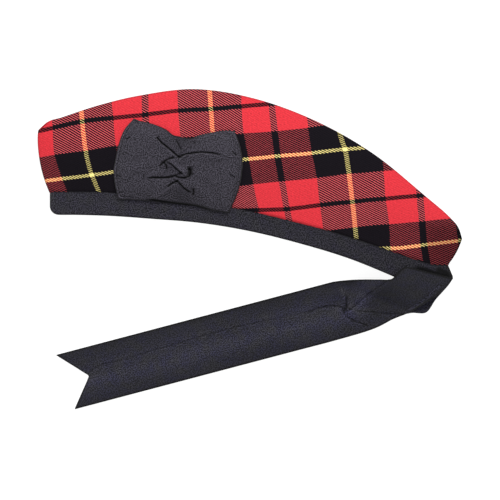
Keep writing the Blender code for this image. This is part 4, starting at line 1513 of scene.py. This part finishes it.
# The upper tail's lines, in mm of the cap's plan, each with the same values as the bow's.
TAIL_FOLDS = (
    # The edge of the strip that comes from the band, lying over the flared cloth.
    Fold(
        ((255.2, -45.2), (253.0, -47.3), (246.0, -52.6), (240.5, -56.8), (226.6, -68.9)),
        1.5, 0.5, 1.3, 9.0, False, True,
    ),
    # The tacked pinch and the creases that run from it.
    Fold(((223.0, -57.6), (223.4, -61.5), (223.6, -65.0), (223.0, -69.5)), 1.6, 0.8, 0.0, 6.0, False, True),
    Fold(((223.6, -66.0), (222.6, -69.0), (220.4, -70.6)), 2.2, 1.3, 0.0, 6.0, True),
    Fold(
        ((222.0, -68.4), (217.5, -66.4), (210.3, -66.2), (203.0, -67.9), (193.0, -71.4)),
        0.8, 0.7, 0.6, 5.0, True,
    ),
    Fold(((219.5, -69.0), (223.6, -74.0), (230.8, -77.8), (241.0, -81.3)), 0.8, 0.6, -0.5, 4.0, True),
    Fold(((226.6, -68.9), (234.4, -69.8), (242.9, -70.7), (255.0, -72.1), (269.0, -71.2)), 0.5, 0.6),
    Fold(((219.0, -52.6), (221.4, -57.0), (222.2, -62.0)), -0.7, 1.6),
    # The hem along the strip's rear edge.
    Fold(((263.0, -73.2), (267.1, -70.4), (279.1, -61.6), (291.2, -51.0)), -0.6, 0.5, 0.0, 6.0, False, True),
    # The lengthwise crease from the notch.
    Fold(
        (
            (36.7, -115.0), (39.6, -112.0), (47.0, -108.6), (63.8, -104.7), (84.2, -98.1), (99.9, -93.9),
            (115.5, -89.0), (142.0, -81.9), (166.0, -76.6), (185.0, -73.0), (203.0, -68.4),
        ),
        0.42, 0.6, -0.3, 7.0, True,
    ),
)
# Painted shadow over the strip's upper edge, and painted shade of a fold at the band's heel, given in the
# same way; the band uses only their shade.
BAND_FOLDS = (
    Fold(((270.5, -37.6), (280.4, -39.8), (287.6, -42.2), (301.0, -45.0)), 1.4, 1.4, 0.0, 6.0, False, True),
    Fold(((287.0, -39.0), (294.0, -41.2), (301.0, -43.6)), 1.0, 2.2, 0.0, 6.0, False, True),
    Fold(((295.6, -35.6), (298.6, -40.6), (301.0, -45.0)), 1.0, 1.1, 0.0, 6.0, True, True),
)


@dataclass
class Studio:
    """A lit white table, soft light and the camera straight above, all in the row frame."""

    frame_width: float = 0.3625  # metres across the picture
    centre: tuple[float, float] = (0.00022, -0.00055)
    distance: float = 2.2
    lens_height: float = 0.006  # the level at which the picture's scale holds
    glow: float = 0.90  # the table is lit from below, which washes out most of the shadow on it
    floor_size: float = 4.0  # metres from the middle to each side
    floor_level: float = -0.0002
    surround: float = 0.66

    def floor(self) -> None:
        """A plain white sheet that the cap lies on."""
        mesh = bpy.data.meshes.new("studio_floor")
        size, level = self.floor_size, self.floor_level
        corners = [(-size, -size, level), (size, -size, level), (size, size, level), (-size, size, level)]
        mesh.from_pydata(corners, [], [(0, 1, 2, 3)])
        floor = add_object("studio_floor", mesh)
        paper, tree, shader = new_material("white_studio_paper")
        wire(shader, {"Base Color": linear("#8C8C8C"), "Roughness": 0.95, "Specular IOR Level": 0.1})
        wire(shader, {"Emission Color": (1.0, 1.0, 1.0, 1.0), "Emission Strength": self.glow})
        # Clear from below, so that the underside can be looked at.
        below = add_node(tree, "NewGeometry", out="Backfacing")
        clear = add_node(tree, "BsdfTransparent")
        seen = add_node(tree, "MixShader", {0: below, 1: shader.outputs[0], 2: clear})
        wire(tree.nodes["Material Output"], {"Surface": seen})
        mesh.materials.append(paper)

    def lamp(self, name: str, place: tuple[float, float, float], size: float, power: float) -> None:
        """A square soft light that faces the cap.

        Args:
            name: its name.
            place: where it stands.
            size: its side in metres.
            power: watts.
        """
        light = bpy.data.lights.new(name, "AREA")
        light.shape, light.size, light.energy = "SQUARE", size, power
        lamp = add_object(name, light)
        lamp.location = place
        lamp.rotation_euler = (-Vector(place)).to_track_quat("-Z", "Y").to_euler()

    def lights(self) -> None:
        """A key from beyond the crown, a weak fill from the front, and an even pale surround."""
        self.lamp("key", (0.25, 1.05, 1.25), 0.7, 21.0)
        self.lamp("fill", (-0.8, -0.5, 1.5), 1.4, 6.0)
        world = bpy.data.worlds.new("studio")
        world.use_nodes = True
        surround = world.node_tree.nodes["Background"]
        wire(surround, {"Color": (1.0, 1.0, 1.0, 1.0), "Strength": self.surround})
        bpy.context.scene.world = world

    def camera(self) -> None:
        """A long lens straight above the middle of the picture."""
        data = bpy.data.cameras.new("camera")
        data.sensor_width = 36.0
        data.lens = data.sensor_width * self.distance / self.frame_width
        data.clip_start, data.clip_end = 0.1, 20.0
        camera = add_object("camera", data)
        camera.location = (*self.centre, self.distance + self.lens_height)
        bpy.context.scene.camera = camera

    def build(self) -> None:
        """Sets the whole studio up, with plain tone mapping."""
        self.floor()
        self.lights()
        self.camera()
        bpy.context.scene.view_settings.view_transform = "Standard"
        LOG.info("studio set up")


def main() -> None:
    logging.basicConfig(level=logging.INFO, format="%(name)s: %(message)s")
    form, layout = CapForm(), PlaidLayout()
    plaid, ribbon = PLAID.material(), TAIL_CLOTH.material()
    for layer, along, up in ((Layer.UPPER, 330, 104), (Layer.LOWER, 200, 60)):
        SidePanel(form, layout, layer, along, up).build(plaid)
    Crown(form).build(plaid)
    Band(form, folds=BAND_FOLDS).build(BAND_CLOTH.material())
    Bow(form).build(BOW_CLOTH.material())
    under = Tail(form, Layer.LOWER, UNDER_STATIONS, along=180, across=40, narrowing=0.004)
    under.build(ribbon, ["studio_floor"])
    upper = Tail(form, Layer.UPPER, UPPER_STATIONS, folds=TAIL_FOLDS)
    upper.build(ribbon, ["tail_under_ribbon", "band_cloth"])
    Studio().build()
    LOG.info("sizes written")


if __name__ == "__main__":
    main()
